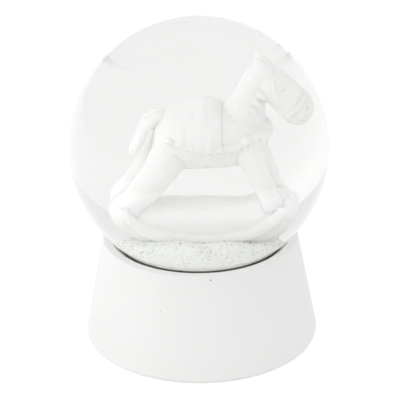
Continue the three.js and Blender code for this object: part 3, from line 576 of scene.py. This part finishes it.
# The rim stands 0.6 mm lower at one side, where the plug went in last.
plug_points = [
    (x, y, z - 0.3 + 0.3 * math.cos(math.atan2(y, x) + 2.0) if z > plug_high.z + 1.2 else z)
    for x, y, z in plug_points
]
plug = fresh_mesh("rubber_plug_moulded", plug_points, plug_faces, rubber, "plug")
sharpen(plug)
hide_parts("rubber_plug")

# ---- Seal ring
# A ring of grey-green sealing compound run into the gap between the glass neck and the mouth of the base. It beds
# the ball and was wiped level by hand, so its top is a little uneven.
SEAL_INNER = -seal_low.x - 1.9
sealant = Finish("dark_sealant")
ripple = sealant.grain(90.0, 3.0)
sealant.shell(
    Base_Color=sealant.ramp(ripple, (0.3, (0.34, 0.36, 0.29)), (0.7, (0.45, 0.47, 0.39))),
    Roughness=sealant.level(ripple, 0.3, 0.5),
    Normal=sealant.bump(ripple, 0.0002, 0.5),
)
seal_outline = eased([
    (SEAL_INNER, seal_low.z, 0.2), (seal_high.x, seal_low.z, 0.2),
    (seal_high.x, seal_high.z, 0.5), (seal_high.x - 1.9, seal_high.z, 0.5),
])
seal_points, seal_faces = turned(seal_outline, 240)
seal_points = [
    (x, y, z + (0.18 * noise.noise(Vector((x, y, 0)) / 5.0) - 0.1 if z > seal_high.z - 1 else 0.0))
    for x, y, z in seal_points
]
seal = fresh_mesh("globe_seal_bead", seal_points, seal_faces, sealant, "seal")
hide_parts("globe_seal")

# ---- Snow mound
# A low dome cast in white resin on the plug, its top modelled as drifted snow and dusted with fine glitter. The
# rocker is bedded in it.
MOUND_CROWN = box_of("snow_mound")[1].z
MOUND_EDGE = MOUND_CROWN - 3.8
MOUND_NECK = NECK_INNER - 0.3
MOUND_FOOT = plug_high.z + 0.05
DRIFT_CROWN = MOUND_CROWN + 7.2
UNDER_WATER = 1.13  # how much a glazed face bends light when water lies on it
snow = Finish("cast_snow")
drift = snow.grain(55.0, 4.0)
sugar = snow.grain(1100.0, 3.0)
sparkle = snow.node("TexVoronoi", {"feature": "F1"}, {"Vector": snow.place(), "Scale": 1500.0}) < 0.16
# Painted shade: the snow is painted darker and greener towards its low edge by the glass.
painted_low_shade = snow.level(snow.coordinate(2) + drift * 0.0012, 1.0, 0.0, (MOUND_CROWN - 3.6) * MM, (MOUND_CROWN - 0.2) * MM)
snow_white = snow.ramp(drift, (0.3, (0.85, 0.852, 0.83)), (0.7, (0.91, 0.91, 0.888)))
snow.shell(
    Base_Color=snow.blend(painted_low_shade, snow_white, (0.78, 0.785, 0.72)),
    Roughness=snow.level(sparkle, 0.75, 0.18),
    IOR=UNDER_WATER,
    Subsurface_Weight=0.08,
    Normal=snow.bump(sugar, 0.00025, 0.5),
)


def snow_height(x, y):
    """Height of the snow at a place: drifts piled up round the rocker, running down to the glass."""
    u = min(1.0, math.hypot(x / 1.05, y) / MOUND_NECK)
    slope = min(1.0, max(0.0, (1.0 - u) / 0.62))
    crown = MOUND_EDGE + (DRIFT_CROWN - MOUND_EDGE) * math.sin(math.pi / 2 * slope) ** 1.15
    lumps = noise.noise(Vector((x, y, 3.0)) / 9.0) * 0.8 + noise.noise(Vector((x, y, 9.0)) / 3.6) * 0.3
    return crown + lumps * (1 - u ** 6)


mound_points, mound_faces = [], []
sectors, circles = 160, 60
compass = [(math.cos(math.tau * i / sectors), math.sin(math.tau * i / sectors)) for i in range(sectors)]
for k in range(1, circles + 1):
    radius = MOUND_NECK * math.sin(math.pi / 2 * k / circles)
    mound_points += [(radius * c, radius * s, snow_height(radius * c, radius * s)) for c, s in compass]
# Under the dome the snow runs in over the rubber rim and down inside it.
skirt = [
    (MOUND_NECK, MOUND_EDGE - 0.5), (MOUND_NECK - 0.3, plug_high.z + 2.3), (PLUG_RIM - 0.3, plug_high.z + 2.2),
    (PLUG_RIM - 0.3, MOUND_FOOT),
]
for radius, height in skirt:
    mound_points += [(radius * c, radius * s, height) for c, s in compass]
last = circles + len(skirt) - 1
for k in range(last):
    for i in range(sectors):
        j = (i + 1) % sectors
        mound_faces.append((k * sectors + i, (k + 1) * sectors + i, (k + 1) * sectors + j, k * sectors + j))
top, bottom = len(mound_points), len(mound_points) + 1
mound_points += [(0, 0, snow_height(0, 0)), (0, 0, MOUND_FOOT)]
for i in range(sectors):
    j = (i + 1) % sectors
    mound_faces.append((top, i, j))
    mound_faces.append((bottom, last * sectors + j, last * sectors + i))
mound = fresh_mesh("snow_mound_drifted", mound_points, mound_faces, snow, "snow")
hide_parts("snow_mound")

# ---- Rocker
# Two bowed rails cast in one with a drift of snow between them, in glazed white. It was poured in a rubber mould,
# so its edges are soft, and it is bedded in the snow.
HOOF_HEIGHT = box_of("rocker")[1].z
RUNNER_DEPTH, RUNNER_WIDTH, RUNNER_SIDE = 2.1, 1.3, 9.0
glazed = Finish("glazed_white")
pooling = glazed.grain(70.0, 3.0)
waviness = glazed.grain(260.0, 2.0)
# Painted shade: hollows and creases, found by their pointiness, are painted a darker olive grey.
pointed = glazed.node("NewGeometry", out=7)
painted_crease_shade = glazed.ramp(pointed, (0.4, (1.0, 1.0, 1.0)), (0.5, (0.0, 0.0, 0.0)))
along, upright = glazed.coordinate(0), glazed.coordinate(2)
# Painted light and shade on the glaze: the muzzle is painted darker as shade, the rocker's deck and the hooves are
# painted lighter against the shade under the belly, and hollows are painted darker as shade.
glaze = glazed.ramp(pooling, (0.3, (0.875, 0.875, 0.866)), (0.7, (0.91, 0.91, 0.903)))
past_noseband = glazed.level(along * 0.85 - upright * 0.53 + pooling * 0.001, 0.0, 1.0, -0.0264, -0.0251)
painted_muzzle_shade = past_noseband * glazed.level(upright, 0.0, 1.0, 0.0895, 0.0915)
glaze = glazed.blend(painted_muzzle_shade, glaze, (0.855, 0.857, 0.83))
# Painted light: the glaze is painted lighter from the rocker's deck up to the shins, where the belly shades it.
above_rails = glazed.level(upright, 0.0, 1.0, 0.0625, 0.0665)
below_shins = glazed.level(upright, 1.0, 0.0, 0.0715, 0.0745)
glaze = glazed.blend(above_rails * below_shins, glaze, (0.985, 0.985, 0.975))
glazed.shell(
    Base_Color=glazed.blend(painted_crease_shade, glaze, (0.68, 0.68, 0.61)),
    Roughness=glazed.level(pooling, 0.2, 0.34),
    IOR=UNDER_WATER,
    Coat_Weight=0.35,
    Coat_Roughness=0.08,
    Coat_IOR=UNDER_WATER,
    Subsurface_Weight=0.4,
    Subsurface_Radius=(1.0, 0.95, 0.85),
    Subsurface_Scale=0.004,
    Normal=glazed.bump(waviness, 0.00012, 0.35),
)


def eased_stations(stations, steps=6):
    """Stations of a loft with a smooth curve run through them."""
    rows = np.array([(*s, *(0.0,) * (5 - len(s))) for s in stations], float)
    padded = np.vstack([2 * rows[0] - rows[1], rows, 2 * rows[-1] - rows[-2]])
    smooth = []
    for k in range(1, len(padded) - 2):
        a, b, c, d = padded[k - 1:k + 3]
        for step in range(steps):
            t = step / steps
            smooth.append(0.5 * (2 * b + (c - a) * t + (2 * a - 5 * b + 4 * c - d) * t * t
                                 + (3 * b - a - 3 * c + d) * t ** 3))
    smooth.append(rows[-1])
    return smooth


def lofted(stations, segments=28, boxy=1.0):
    """Points and faces of a limb: stations of (x, z, half depth, half width, y)."""
    rows = eased_stations(stations)
    points, faces = [], []
    for k, (x, z, depth, width, y) in enumerate(rows):
        ahead, behind = rows[min(k + 1, len(rows) - 1)], rows[max(k - 1, 0)]
        along = Vector((ahead[0] - behind[0], 0, ahead[1] - behind[1])).normalized()
        across = Vector((-along.z, 0, along.x))
        for i in range(segments):
            angle = math.tau * i / segments
            c, s = math.cos(angle), math.sin(angle)
            c, s = math.copysign(abs(c) ** boxy, c), math.copysign(abs(s) ** boxy, s)
            spot = Vector((x, y, z)) + across * max(depth, 0.05) * c + Vector((0, max(width, 0.05) * s, 0))
            points.append(tuple(spot))
    for k in range(len(rows) - 1):
        for i in range(segments):
            j = (i + 1) % segments
            faces.append((k * segments + i, k * segments + j, (k + 1) * segments + j, (k + 1) * segments + i))
    last = (len(rows) - 1) * segments
    faces.append(tuple(range(segments - 1, -1, -1)))
    faces.append(tuple(last + i for i in range(segments)))
    return points, faces


def fused(name, limbs, voxel, smoothing, finish, slot):
    """Joins limbs into one closed casting."""
    points, faces = [], []
    for limb_points, limb_faces in limbs:
        start = len(points)
        points += limb_points
        faces += [tuple(start + i for i in face) for face in limb_faces]
    piece = fresh_mesh(name, points, faces, finish, slot)
    solid = bmesh.new()
    solid.from_mesh(piece.data)
    bmesh.ops.recalc_face_normals(solid, faces=solid.faces)
    solid.to_mesh(piece.data)
    solid.free()
    baked(
        piece,
        ("REMESH", {"mode": "VOXEL", "voxel_size": voxel * MM}),
        ("SMOOTH", {"factor": 0.5, "iterations": smoothing}),
    )
    piece.data.materials.clear()
    piece.data.materials.append(finish.material)
    for polygon in piece.data.polygons:
        polygon.use_smooth = True
    return piece


def boat(rows):
    """Stations of a loft from (x, rise above the hooves, depth below them, half width)."""
    levels = [(x, HOOF_HEIGHT + rise, HOOF_HEIGHT - drop, width) for x, rise, drop, width in rows]
    return [(x, (top + bottom) / 2, (top - bottom) / 2, width) for x, top, bottom, width in levels]


rocker_limbs = [lofted(boat([
    (-26.4, 2.6, 0.4, 3.4), (-25.6, 4.2, 3.4, 6.2), (-23.4, 4.7, 6.8, 8.0), (-20.4, 3.7, 9.4, 8.8),
    (-16.0, 2.1, 11.6, 9.1), (-8.0, 1.8, 14.2, 9.2), (4.0, 1.7, 15.0, 9.2), (14.0, 1.8, 13.8, 9.1),
    (20.5, 3.2, 11.4, 8.8), (25.0, 4.5, 8.6, 8.3), (28.2, 3.2, 5.6, 6.8), (29.8, 0.8, 2.6, 3.6),
]), 56, 0.8)]
runner = [
    (-24.6, 68.6), (-23.4, 65.2), (-19.5, 61.6), (-12.0, 58.7), (-3.0, 57.5), (6.0, 57.4), (14.5, 58.6),
    (21.0, 61.2), (25.8, 64.6), (27.2, 67.4),
]
for side in (-1, 1):
    rocker_limbs.append(lofted([(x, z, RUNNER_DEPTH, RUNNER_WIDTH, side * RUNNER_SIDE) for x, z in runner]))
rocker = fused("rocker_cast", rocker_limbs, 0.4, 10, glazed, "glazed_white")


def displaced(piece, shift):
    """Moves each point of a piece along its normal by shift(x, y, z, normals), in millimetres."""
    mesh = piece.data
    count = len(mesh.vertices)
    places, normals = np.empty(count * 3), np.empty(count * 3)
    mesh.vertices.foreach_get("co", places)
    mesh.vertices.foreach_get("normal", normals)
    places, normals = places.reshape(-1, 3), normals.reshape(-1, 3)
    amount = shift(*(places.T / MM), normals)
    places += normals * (amount * MM)[:, None]
    mesh.vertices.foreach_set("co", places.ravel())
    mesh.update()


def drifting(x, y, z, normals):
    """Soft lumps, as of snow packed between the rails."""
    lumps = np.array([noise.noise(Vector(p) / 5.5) + 0.4 * noise.noise(Vector(p) / 2.4) for p in zip(x, y, z)])
    return 0.34 * lumps


displaced(rocker, drifting)
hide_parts("rocker")

# ---- Rocking horse
# A plump nursery horse in a scalloped blanket, slip cast and glazed white all over, with its harness, mane and
# hooves raised in the mould. Hollow, its hooves are bonded to the rocker.
torso = [
    (-14.6, 89.0, 3.2, 3.8), (-13.8, 89.0, 6.0, 6.4), (-11.6, 89.0, 8.6, 8.8), (-8.4, 89.1, 10.0, 9.9),
    (-4.0, 89.3, 10.2, 10.3), (3.0, 89.7, 10.5, 10.2), (9.0, 90.0, 10.5, 9.8), (14.0, 90.5, 9.6, 9.0),
    (18.5, 90.8, 7.4, 7.2), (21.8, 91.2, 4.7, 4.6), (23.1, 91.0, 1.8, 1.8),
]
neck = [
    (11.0, 88.0, 10.6, 8.2), (13.9, 95.0, 8.4, 7.0), (15.8, 101.0, 6.4, 5.8), (17.8, 106.5, 5.2, 5.0),
    (20.0, 111.5, 4.6, 4.7), (21.8, 114.4, 3.5, 4.2),
]
head = [
    (19.6, 113.2, 2.6, 2.4), (21.5, 112.2, 5.2, 4.4), (25.0, 109.4, 7.4, 5.4), (28.5, 106.0, 7.1, 5.0),
    (31.5, 102.5, 7.4, 4.5), (34.2, 99.2, 7.0, 4.4), (36.0, 97.1, 5.8, 3.7), (37.1, 95.9, 3.8, 2.4),
    (37.5, 95.5, 1.3, 0.9),
]
ear = [
    (23.8, 114.0, 3.0, 1.9, 2.2), (22.6, 116.6, 2.9, 1.6, 2.4), (21.6, 118.8, 2.4, 1.3, 2.5),
    (20.9, 120.4, 1.7, 0.9, 2.6), (20.5, 121.3, 0.8, 0.5, 2.6),
]
foreleg = [
    (14.6, 91.0, 5.6, 4.2, 4.6), (16.2, 86.0, 5.0, 4.3, 5.2), (18.2, 80.6, 4.1, 3.9, 5.6),
    (20.3, 75.8, 3.5, 3.4, 5.8), (22.0, 71.4, 3.1, 3.1, 5.8), (22.8, 69.0, 3.4, 3.3, 5.8),
    (23.4, 66.6, 3.7, 3.5, 5.8),
]
hind_leg = [
    (-7.2, 90.0, 6.4, 5.2, 4.2), (-9.6, 84.8, 6.4, 5.1, 5.0), (-13.6, 78.8, 5.5, 4.4, 5.6),
    (-18.0, 73.4, 4.8, 3.8, 5.8), (-21.0, 69.8, 4.3, 3.6, 5.8), (-22.6, 66.8, 4.5, 3.9, 5.8),
]
horse_limbs = [lofted(torso, 64), lofted(neck, 48), lofted(head, 48)]
for side in (-1, 1):
    for limb, segments in ((ear, 20), (foreleg, 32), (hind_leg, 32)):
        horse_limbs.append(lofted([(*station[:4], side * station[4]) for station in limb], segments))
# The tail: three locks that leave the rump together, arch over it and hang out behind the thighs.
for lift, y, size in ((0.0, -1.9, 1.0), (0.6, 1.7, 0.95), (-0.5, -0.1, 1.05)):
    horse_limbs.append(lofted([
        (-10.6, 97.0 + lift, 1.3, 1.5, y * 0.4), (-13.4, 96.7 + lift, 1.7, 1.7, y * 0.7),
        (-16.2, 94.8 + lift, 1.8 * size, 1.7, y), (-18.1, 91.8, 1.8 * size, 1.6, y),
        (-19.3, 88.7, 1.7 * size, 1.5, y), (-20.6, 86.2, 1.5 * size, 1.3, y * 0.9),
        (-22.2, 84.4, 0.5, 0.5, y * 0.7),
    ], 20))
# The mane: locks that fall from the crest down each side of the neck, with a forelock between the ears.
crest = [(20.6, 115.4), (18.5, 112.6), (16.7, 109.7), (15.1, 106.8), (13.5, 103.7), (11.9, 100.5)]
for k, (x, z) in enumerate(crest):
    for side in (-1, 1):
        reach = 4.3 + 0.25 * k
        horse_limbs.append(lofted([
            (x + 1.4, z + 0.6, 1.0, 1.4, side * 0.4), (x + 0.3, z + 0.2, 1.8, 1.6, side * 1.4),
            (x + 0.6, z - 2.4, 2.0, 1.2, side * (reach - 1.4)), (x + 1.8, z - 5.0, 1.7, 0.9, side * (reach - 0.3)),
            (x + 3.6, z - 7.0, 1.0, 0.7, side * (reach + 0.1)), (x + 4.8, z - 7.7, 0.25, 0.25, side * reach),
        ], 18))
for y in (-1.2, 0.3, 1.5):
    horse_limbs.append(lofted([
        (20.2, 117.4, 1.0, 1.1, y * 0.4), (22.6, 118.2, 1.3, 1.1, y * 0.7), (25.4, 116.6, 1.2, 1.0, y),
        (27.6, 113.9, 0.9, 0.8, y * 1.2), (29.0, 111.6, 0.3, 0.3, y * 1.3),
    ], 16))

# The blanket lies over the back and stands up at the withers; its hem falls in scallops over a second layer.
def blanket(front, rear, hem, lift, rise):
    """A layer of cloth over the torso from rear to front, down to a hem height, standing lift proud."""
    rows = eased_stations(torso, 10)
    xs = [row[0] for row in rows]
    columns, around = 60, 81
    outer, inner = [], []
    for i in range(columns + 1):
        x = rear + (front - rear) * i / columns
        centre, depth, width = (float(np.interp(x, xs, [row[c] for row in rows])) for c in (1, 2, 3))
        drop = hem(x)
        end = math.acos(max(-1.0, min(1.0, (drop - centre) / depth)))
        border = 0.16 * math.exp(-((x - front) / 0.8) ** 2)
        tuck = min(1.0, 0.2 + (x - rear) / 5.0, 0.55 + (front - x) / 4.0)
        for k in range(around):
            angle = end * (2 * k / (around - 1) - 1)
            fold = 0.08 * math.sin(x * 1.25 + 2.2 * abs(angle)) * min(1.0, abs(angle)) ** 1.5
            roll = 0.65 * math.exp(-((end - abs(angle)) * depth / 0.7) ** 2)
            proud = lift * tuck + fold + border + roll + rise(x) * math.exp(-(angle / 0.62) ** 2)
            up, out = math.cos(angle), math.sin(angle)
            outer.append((x, (width + proud) * out, centre + (depth + proud) * up))
            inner.append((x, (width - 1.4) * out, centre + (depth - 1.4) * up))
    points = outer + inner
    faces, half = [], len(outer)
    for i in range(columns):
        for k in range(around - 1):
            a = i * around + k
            faces.append((a, a + 1, a + around + 1, a + around))
            faces.append((half + a, half + a + around, half + a + around + 1, half + a + 1))
    for i in range(columns):
        for k in (0, around - 1):
            a = i * around + k
            b = a + around
            face = (a, b, half + b, half + a)
            faces.append(face if k == 0 else face[::-1])
    for k in range(around - 1):
        for i in (0, columns):
            a = i * around + k
            face = (a, half + a, half + a + 1, a + 1)
            faces.append(face if i == 0 else face[::-1])
    return points, faces


def hem_line(*corners):
    xs, zs = [c[0] for c in corners], [c[1] for c in corners]
    return lambda x: float(np.interp(x, xs, zs))


def scalloped(line, pitch, drop):
    return lambda x: line(x) - drop * abs(math.sin(math.pi * x / pitch))


upper_hem = scalloped(hem_line((-12.0, 92.2), (-6.0, 90.2), (1.7, 88.2), (5.0, 88.0), (7.6, 88.6)), 3.3, 0.9)
lower_hem = scalloped(hem_line((-8.2, 87.6), (-2.6, 84.9), (7.6, 84.6)), 3.7, 0.9)
withers = hem_line((-11.0, 0.2), (-7.6, 0.5), (-2.6, 1.5), (1.6, 2.4), (4.4, 1.6), (7.4, 0.0))
horse_limbs.append(blanket(7.4, -11.6, upper_hem, 0.9, withers))
horse_limbs.append(blanket(7.2, -8.2, lower_hem, 0.6, lambda x: 0.0))
horse = fused("rocking_horse_cast", horse_limbs, 0.32, 3, glazed, "glazed_white")


def nearness(x, z, line):
    """Distance of each point from a line of (x, z) corners."""
    best = np.full(x.shape, 1e9)
    for (x0, z0), (x1, z1) in zip(line, line[1:]):
        length = (x1 - x0) ** 2 + (z1 - z0) ** 2
        t = np.clip(((x - x0) * (x1 - x0) + (z - z0) * (z1 - z0)) / length, 0, 1)
        best = np.minimum(best, np.hypot(x - x0 - t * (x1 - x0), z - z0 - t * (z1 - z0)))
    return best


def band(x, z, line, width, height, soft=0.35):
    """A flat raised or sunk strap along a line."""
    return height / (1 + np.exp((nearness(x, z, line) - width) / soft * 2.2))


def dome(x, z, x0, z0, radius, height):
    """A round boss or dimple about a place."""
    return height * np.sqrt(np.clip(1 - ((x - x0) ** 2 + (z - z0) ** 2) / radius ** 2, 0, 1))


def mould_detail(x, y, z, normals):
    """The harness, face, locks and hooves that are raised in the mould."""
    facing = np.clip(np.abs(normals[:, 1]) * 2.2 - 0.3, 0, 1)
    shift = np.zeros(x.shape)
    breast_strap = [(7.2, 88.4), (12.7, 89.2), (15.6, 91.2), (19.0, 92.2), (22.0, 91.6), (24.0, 91.2)]
    shift += band(x, z, breast_strap, 1.15, 0.62) * (x > 6.6)
    ruffle = band(x, z, [(8.0, 86.9), (12.7, 87.5), (15.6, 89.3), (19.0, 90.4), (22.5, 90.0)], 0.9, 0.5)
    shift += ruffle * (0.6 + 0.4 * np.sin(x * 3.4)) * (x > 6.6)
    noseband = [(39.6, 107.2), (36.6, 104.6), (33.6, 100.6), (28.4, 96.6)]
    shift += band(x, z, noseband, 0.95, 0.55) * (x > 26) - band(x, z, noseband, 1.5, 0.22) * (x > 26)
    cheek_strap = [(25.4, 117.0), (26.2, 112.5), (26.6, 107.0), (28.8, 99.0)]
    shift += band(x, z, cheek_strap, 0.55, 0.3)
    rosettes = ((15.6, 91.2, 1.7, 0.7), (-9.8, 91.6, 1.3, 0.6), (32.0, 99.6, 1.1, 0.4), (26.2, 112.6, 0.9, 0.3))
    for x0, z0, radius, height in rosettes:
        shift += dome(x, z, x0, z0, radius, height) * facing
        petals = np.sin(5 * np.arctan2(z - z0, x - x0))
        shift -= 0.22 * facing * np.exp(-((np.hypot(x - x0, z - z0) - radius * 0.7) / 0.3) ** 2) * (petals > 0)
    shift += dome(x, z, 28.9, 109.9, 1.15, 0.4) * facing
    eyelid = [(27.6, 110.2), (28.6, 111.2), (29.9, 110.7), (30.3, 109.7)]
    shift -= band(x, z, eyelid, 0.2, 0.2, 0.2) * facing
    mouth = [(39.0, 95.6), (36.6, 95.4), (33.6, 95.8)]
    shift -= band(x, z, mouth, 0.28, 0.55, 0.22)
    nostril = dome(x, z, 38.0, 101.2, 0.8, 0.5)
    shift -= nostril * facing
    legs = (np.abs(y) > 1.5) & (z < 76)
    hoof = 1 / (1 + np.exp((z - (HOOF_HEIGHT + 4.6)) / 0.12))
    fetlock = np.exp(-((z - (HOOF_HEIGHT + 5.4)) / 0.7) ** 2)
    shift += (0.34 * hoof + 0.28 * fetlock) * legs
    mane = (nearness(x, z, crest) < 5.5) & (x < 20.5) & (z > 97)
    shift -= 0.12 * mane * (np.sin((x * 0.6 - z * 1.1 + np.abs(y) * 1.3) * 2.1) - 0.2).clip(0, 1)
    tail = (x < -15.6) & (z > 82)
    shift -= 0.18 * tail * (np.sin((x * 1.1 + z * 0.45 + y * 0.8) * 2.6) - 0.1).clip(0, 1)
    back = (x > -11.0) & (x < 7.0) & (np.abs(y) > 2.5) & (z > 86.5)
    creases = 0.07 * np.sin(x * 1.9 + 0.9)
    tuck = 0.35 * np.exp(-((x - 1.8) / 0.8) ** 2 - ((z - 99.5) / 3.5) ** 2)
    shift += (creases + tuck) * back
    sag = np.array([noise.noise(Vector(p) / 3.4) for p in zip(x, y, z)])
    return shift + 0.07 * sag


displaced(horse, mould_detail)
# The neck is set a little shorter than its stations: the head comes down, and the back stays.
HEAD_DROP, NECK_FOOT, NECK_SPAN = 1.2, 99.0, 14.0
for corner in horse.data.vertices:
    corner.co.z -= HEAD_DROP * MM * min(1.0, max(0.0, (corner.co.z / MM - NECK_FOOT) / NECK_SPAN))
baked(horse, ("SMOOTH", {"factor": 0.4, "iterations": 1}))
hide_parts("rocking_horse")

# ---- Flakes
# Some 2800 flakes cut from thin silvery white film, each up to 0.8 mm across, that whirl in the water when the
# globe is shaken. At rest they lie on the snow all round the rocker.
FLAKE_SMALLEST, FLAKE_HALF_THICKNESS = 0.18, 0.03
film = Finish("silvery_film")
# Painted reflection: each patch of film is painted dark grey or bright white at random, as glints and dark
# reflections.
painted_glints = film.node("TexVoronoi", {"feature": "F1"}, {"Vector": film.place(), "Scale": 1500.0}, out=1)
painted_glint_tone = film.node("SeparateXYZ", {}, {"Vector": painted_glints})
film.shell(
    Base_Color=film.ramp(
        painted_glint_tone, (0.0, (0.34, 0.35, 0.32)), (0.13, (0.48, 0.49, 0.45)), (0.3, (0.9, 0.9, 0.87)),
        (1.0, (0.97, 0.97, 0.94)),
    ),
    Metallic=0.3,
    Roughness=film.level(painted_glint_tone, 0.15, 0.4),
)
chance = random.Random(7)
flake_points, flake_faces = [], []


def flake(x, y, z, size, tilt, heading, sides):
    """One flake: a thin irregular prism."""
    turn = Matrix.Rotation(heading, 3, "Z") @ Matrix.Rotation(tilt, 3, "X")
    start = len(flake_points)
    spokes = [
        (math.tau * (k + chance.uniform(-0.3, 0.3)) / sides, chance.uniform(0.6, 1.0)) for k in range(sides)
    ]
    for level in (-FLAKE_HALF_THICKNESS, FLAKE_HALF_THICKNESS):
        for angle, share in spokes:
            spot = Vector((math.cos(angle) * size * share, math.sin(angle) * size * share, level))
            flake_points.append(tuple(Vector((x, y, z)) + turn @ spot))
    flake_faces.append(tuple(range(start + sides - 1, start - 1, -1)))
    flake_faces.append(tuple(range(start + sides, start + 2 * sides)))
    for k in range(sides):
        j = (k + 1) % sides
        flake_faces.append((start + k, start + j, start + sides + j, start + sides + k))


# Most lie in a ring out to the glass, and a few lie nearer the rocker.
for count, inner, outer, largest in ((2400, 15.0, MOUND_NECK - 1.2, 0.42), (400, 3.0, 18.0, 0.32)):
    for _ in range(count):
        radius = math.sqrt(chance.uniform(inner ** 2, outer ** 2))
        heading = chance.uniform(0, math.tau)
        x, y = radius * math.cos(heading), radius * math.sin(heading)
        size = chance.uniform(FLAKE_SMALLEST, largest)
        z = snow_height(x, y) + chance.uniform(0.05, 0.35)
        flake(x, y, z, size, chance.uniform(-1.5, 1.5), chance.uniform(0, 6.3), chance.choice((3, 4, 5, 6)))
flakes = fresh_mesh("settled_flakes_cut", flake_points, flake_faces, film, "snow", smooth=False)
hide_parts("settled_flakes")

# ---- Glass globe
# A blown glass ball, a little over 2 mm thick, drawn down to a short neck that is bonded round the rubber plug.
# The glass is clear; its inside face, wetted by the water, bends the view less than its outside.
ball_low, ball_high = box_of("glass_globe")
BALL_RADIUS = ball_high.x
BALL_INNER = BALL_RADIUS - GLASS_WALL
BALL_CENTRE = ball_high.z - BALL_RADIUS


def see_through(name, bending, tint):
    """A clear surface that bends light and lets shadows through; tint colours what passes."""
    finish = Finish(name)
    glass = finish.node("BsdfPrincipled", {}, {
        "Base Color": tint, "Roughness": 0.0, "IOR": bending, "Transmission Weight": 1.0,
    })
    clear = finish.node("BsdfTransparent", {}, {"Color": (1.0, 1.0, 1.0)})
    lighting = finish.node("LightPath", out=1) + finish.node("LightPath", out=2)
    finish.surface(finish.node("MixShader", {}, {0: lighting, 1: glass, 2: clear}))
    return finish


clear_glass = see_through("clear_glass", 1.5, (0.82, 0.822, 0.815))
wetted_glass = see_through("wetted_glass", 1.125, (1.0, 1.0, 1.0))


def ball_outline(radius, neck, foot, steps=72):
    """Radius and height from the foot of the neck up to the top of the ball."""
    meet = math.asin(neck / radius)
    line = [(neck, foot)]
    for k in range(steps + 1):
        angle = math.pi - meet + (meet - math.pi) * k / steps
        line.append((radius * math.sin(angle) if k < steps else 0.0, BALL_CENTRE + radius * math.cos(angle)))
    return line


outer_line = ball_outline(BALL_RADIUS, NECK_OUTER, ball_low.z)
inner_line = ball_outline(BALL_INNER, NECK_INNER, ball_low.z)
globe_points, globe_faces = turned(outer_line + inner_line[::-1], 256)
globe = fresh_mesh("glass_globe_blown", globe_points, globe_faces, clear_glass, "glass")
globe.data.materials.append(wetted_glass.material)
INSIDE = 0.6
for polygon in globe.data.polygons:
    middle = polygon.center / MM
    in_ball = math.hypot(middle.x, middle.y, middle.z - BALL_CENTRE) < BALL_INNER + INSIDE and middle.z > MOUTH - 3
    in_neck = math.hypot(middle.x, middle.y) < NECK_INNER + INSIDE and middle.z < MOUTH
    if in_ball or in_neck:
        polygon.material_index = 1
sharpen(globe, 60)
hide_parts("glass_globe")

# ---- Water
# Clean water with a little glycol fills the ball right up, so that the flakes sink slowly. It is as clear as the
# glass and bends no light itself; the wetted inside face of the glass stands for its bending.
water_low, water_high = box_of("water_fill")
WATER_RADIUS, WATER_NECK = water_high.x, MOUND_NECK - 0.4
clean_water = see_through("clean_water", 1.0, (0.995, 0.998, 0.992))
water_foot = BALL_CENTRE - math.sqrt(WATER_RADIUS ** 2 - WATER_NECK ** 2)
water_line = ball_outline(WATER_RADIUS, WATER_NECK, MOUND_CROWN + 0.9)
water_line = [(r, z) for r, z in water_line if z > max(water_low.z, water_foot)]
water_line = [(0.0, water_line[0][1])] + water_line
water = fresh_mesh("water_fill_clear", *turned(water_line, 192), clean_water, "liquid")
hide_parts("water_fill")

# ---- Studio
# A white sweep lit from below so that it stays white, more strongly on the left, under broad soft light: a large
# soft box on the left, another overhead, and light all round. The camera is a long lens a little above the globe.
FLOOR_RADIUS = 3.0
AIR_LIGHT = 0.94
LENS, SENSOR, DISTANCE = 136.7, 36.0, 0.6525
RISE, ROLL = math.radians(24.0), -0.0156
TARGET = Vector((0.0001, 0.0, 0.0611))
sweep = Finish("studio_floor")
towards_left = sweep.level(sweep.coordinate(0), 1.0, 0.0, -0.15, -0.04)
sweep.shell(
    Base_Color=sweep.ramp(sweep.grain(3.0), (0.3, (0.49, 0.49, 0.49)), (0.7, (0.51, 0.51, 0.51))),
    Roughness=0.9,
    Specular_IOR_Level=0.1,
    Emission_Color=sweep.blend(towards_left, (0.85, 0.85, 0.85), (1.0, 1.0, 1.0)),
    Emission_Strength=0.66,
)
floor_mesh = bpy.data.meshes.new("floor")
disc = bmesh.new()
bmesh.ops.create_circle(disc, cap_ends=True, segments=96, radius=FLOOR_RADIUS)
disc.to_mesh(floor_mesh)
disc.free()
floor_mesh.materials.append(sweep.material)
floor = in_scene("floor", floor_mesh)

scene = bpy.context.scene
world = bpy.data.worlds.new("studio_air")
scene.world = world
world.use_nodes = True
air = world.node_tree.nodes["Background"]
air.inputs["Color"].default_value = (1.0, 1.0, 1.0, 1.0)
air.inputs["Strength"].default_value = AIR_LIGHT


def soft_box(name, place, aim, width, height, power):
    """A lamp behind cloth that is never seen in the glass."""
    data = bpy.data.lights.new(name, "AREA")
    data.shape = "RECTANGLE"
    data.size, data.size_y = width, height
    data.energy = power
    lamp = in_scene(name, data)
    lamp.location = place
    lamp.rotation_euler = (Vector(aim) - Vector(place)).to_track_quat("-Z", "Y").to_euler()
    lamp.visible_camera = lamp.visible_transmission = lamp.visible_glossy = False


soft_box("left_soft_box", (-1.1, -0.35, 0.65), (0, 0, 0.06), 1.0, 1.0, 3.4)
soft_box("overhead_soft_box", (0.1, 0.0, 1.6), (0, 0, 0), 1.6, 1.6, 1.5)

scene.view_settings.view_transform = "Standard"
scene.cycles.max_bounces = 24
scene.cycles.diffuse_bounces = 8
scene.cycles.transmission_bounces = 24
lens = bpy.data.cameras.new("camera")
lens.lens, lens.sensor_width = LENS, SENSOR
lens.clip_start, lens.clip_end = 0.01, 20.0
camera = in_scene("camera", lens)
camera.location = TARGET + Vector((0, -math.cos(RISE), math.sin(RISE))) * DISTANCE
sight = (TARGET - camera.location).to_track_quat("-Z", "Y").to_matrix().to_4x4()
camera.rotation_euler = (sight @ Matrix.Rotation(ROLL, 4, "Z")).to_euler()
scene.camera = camera
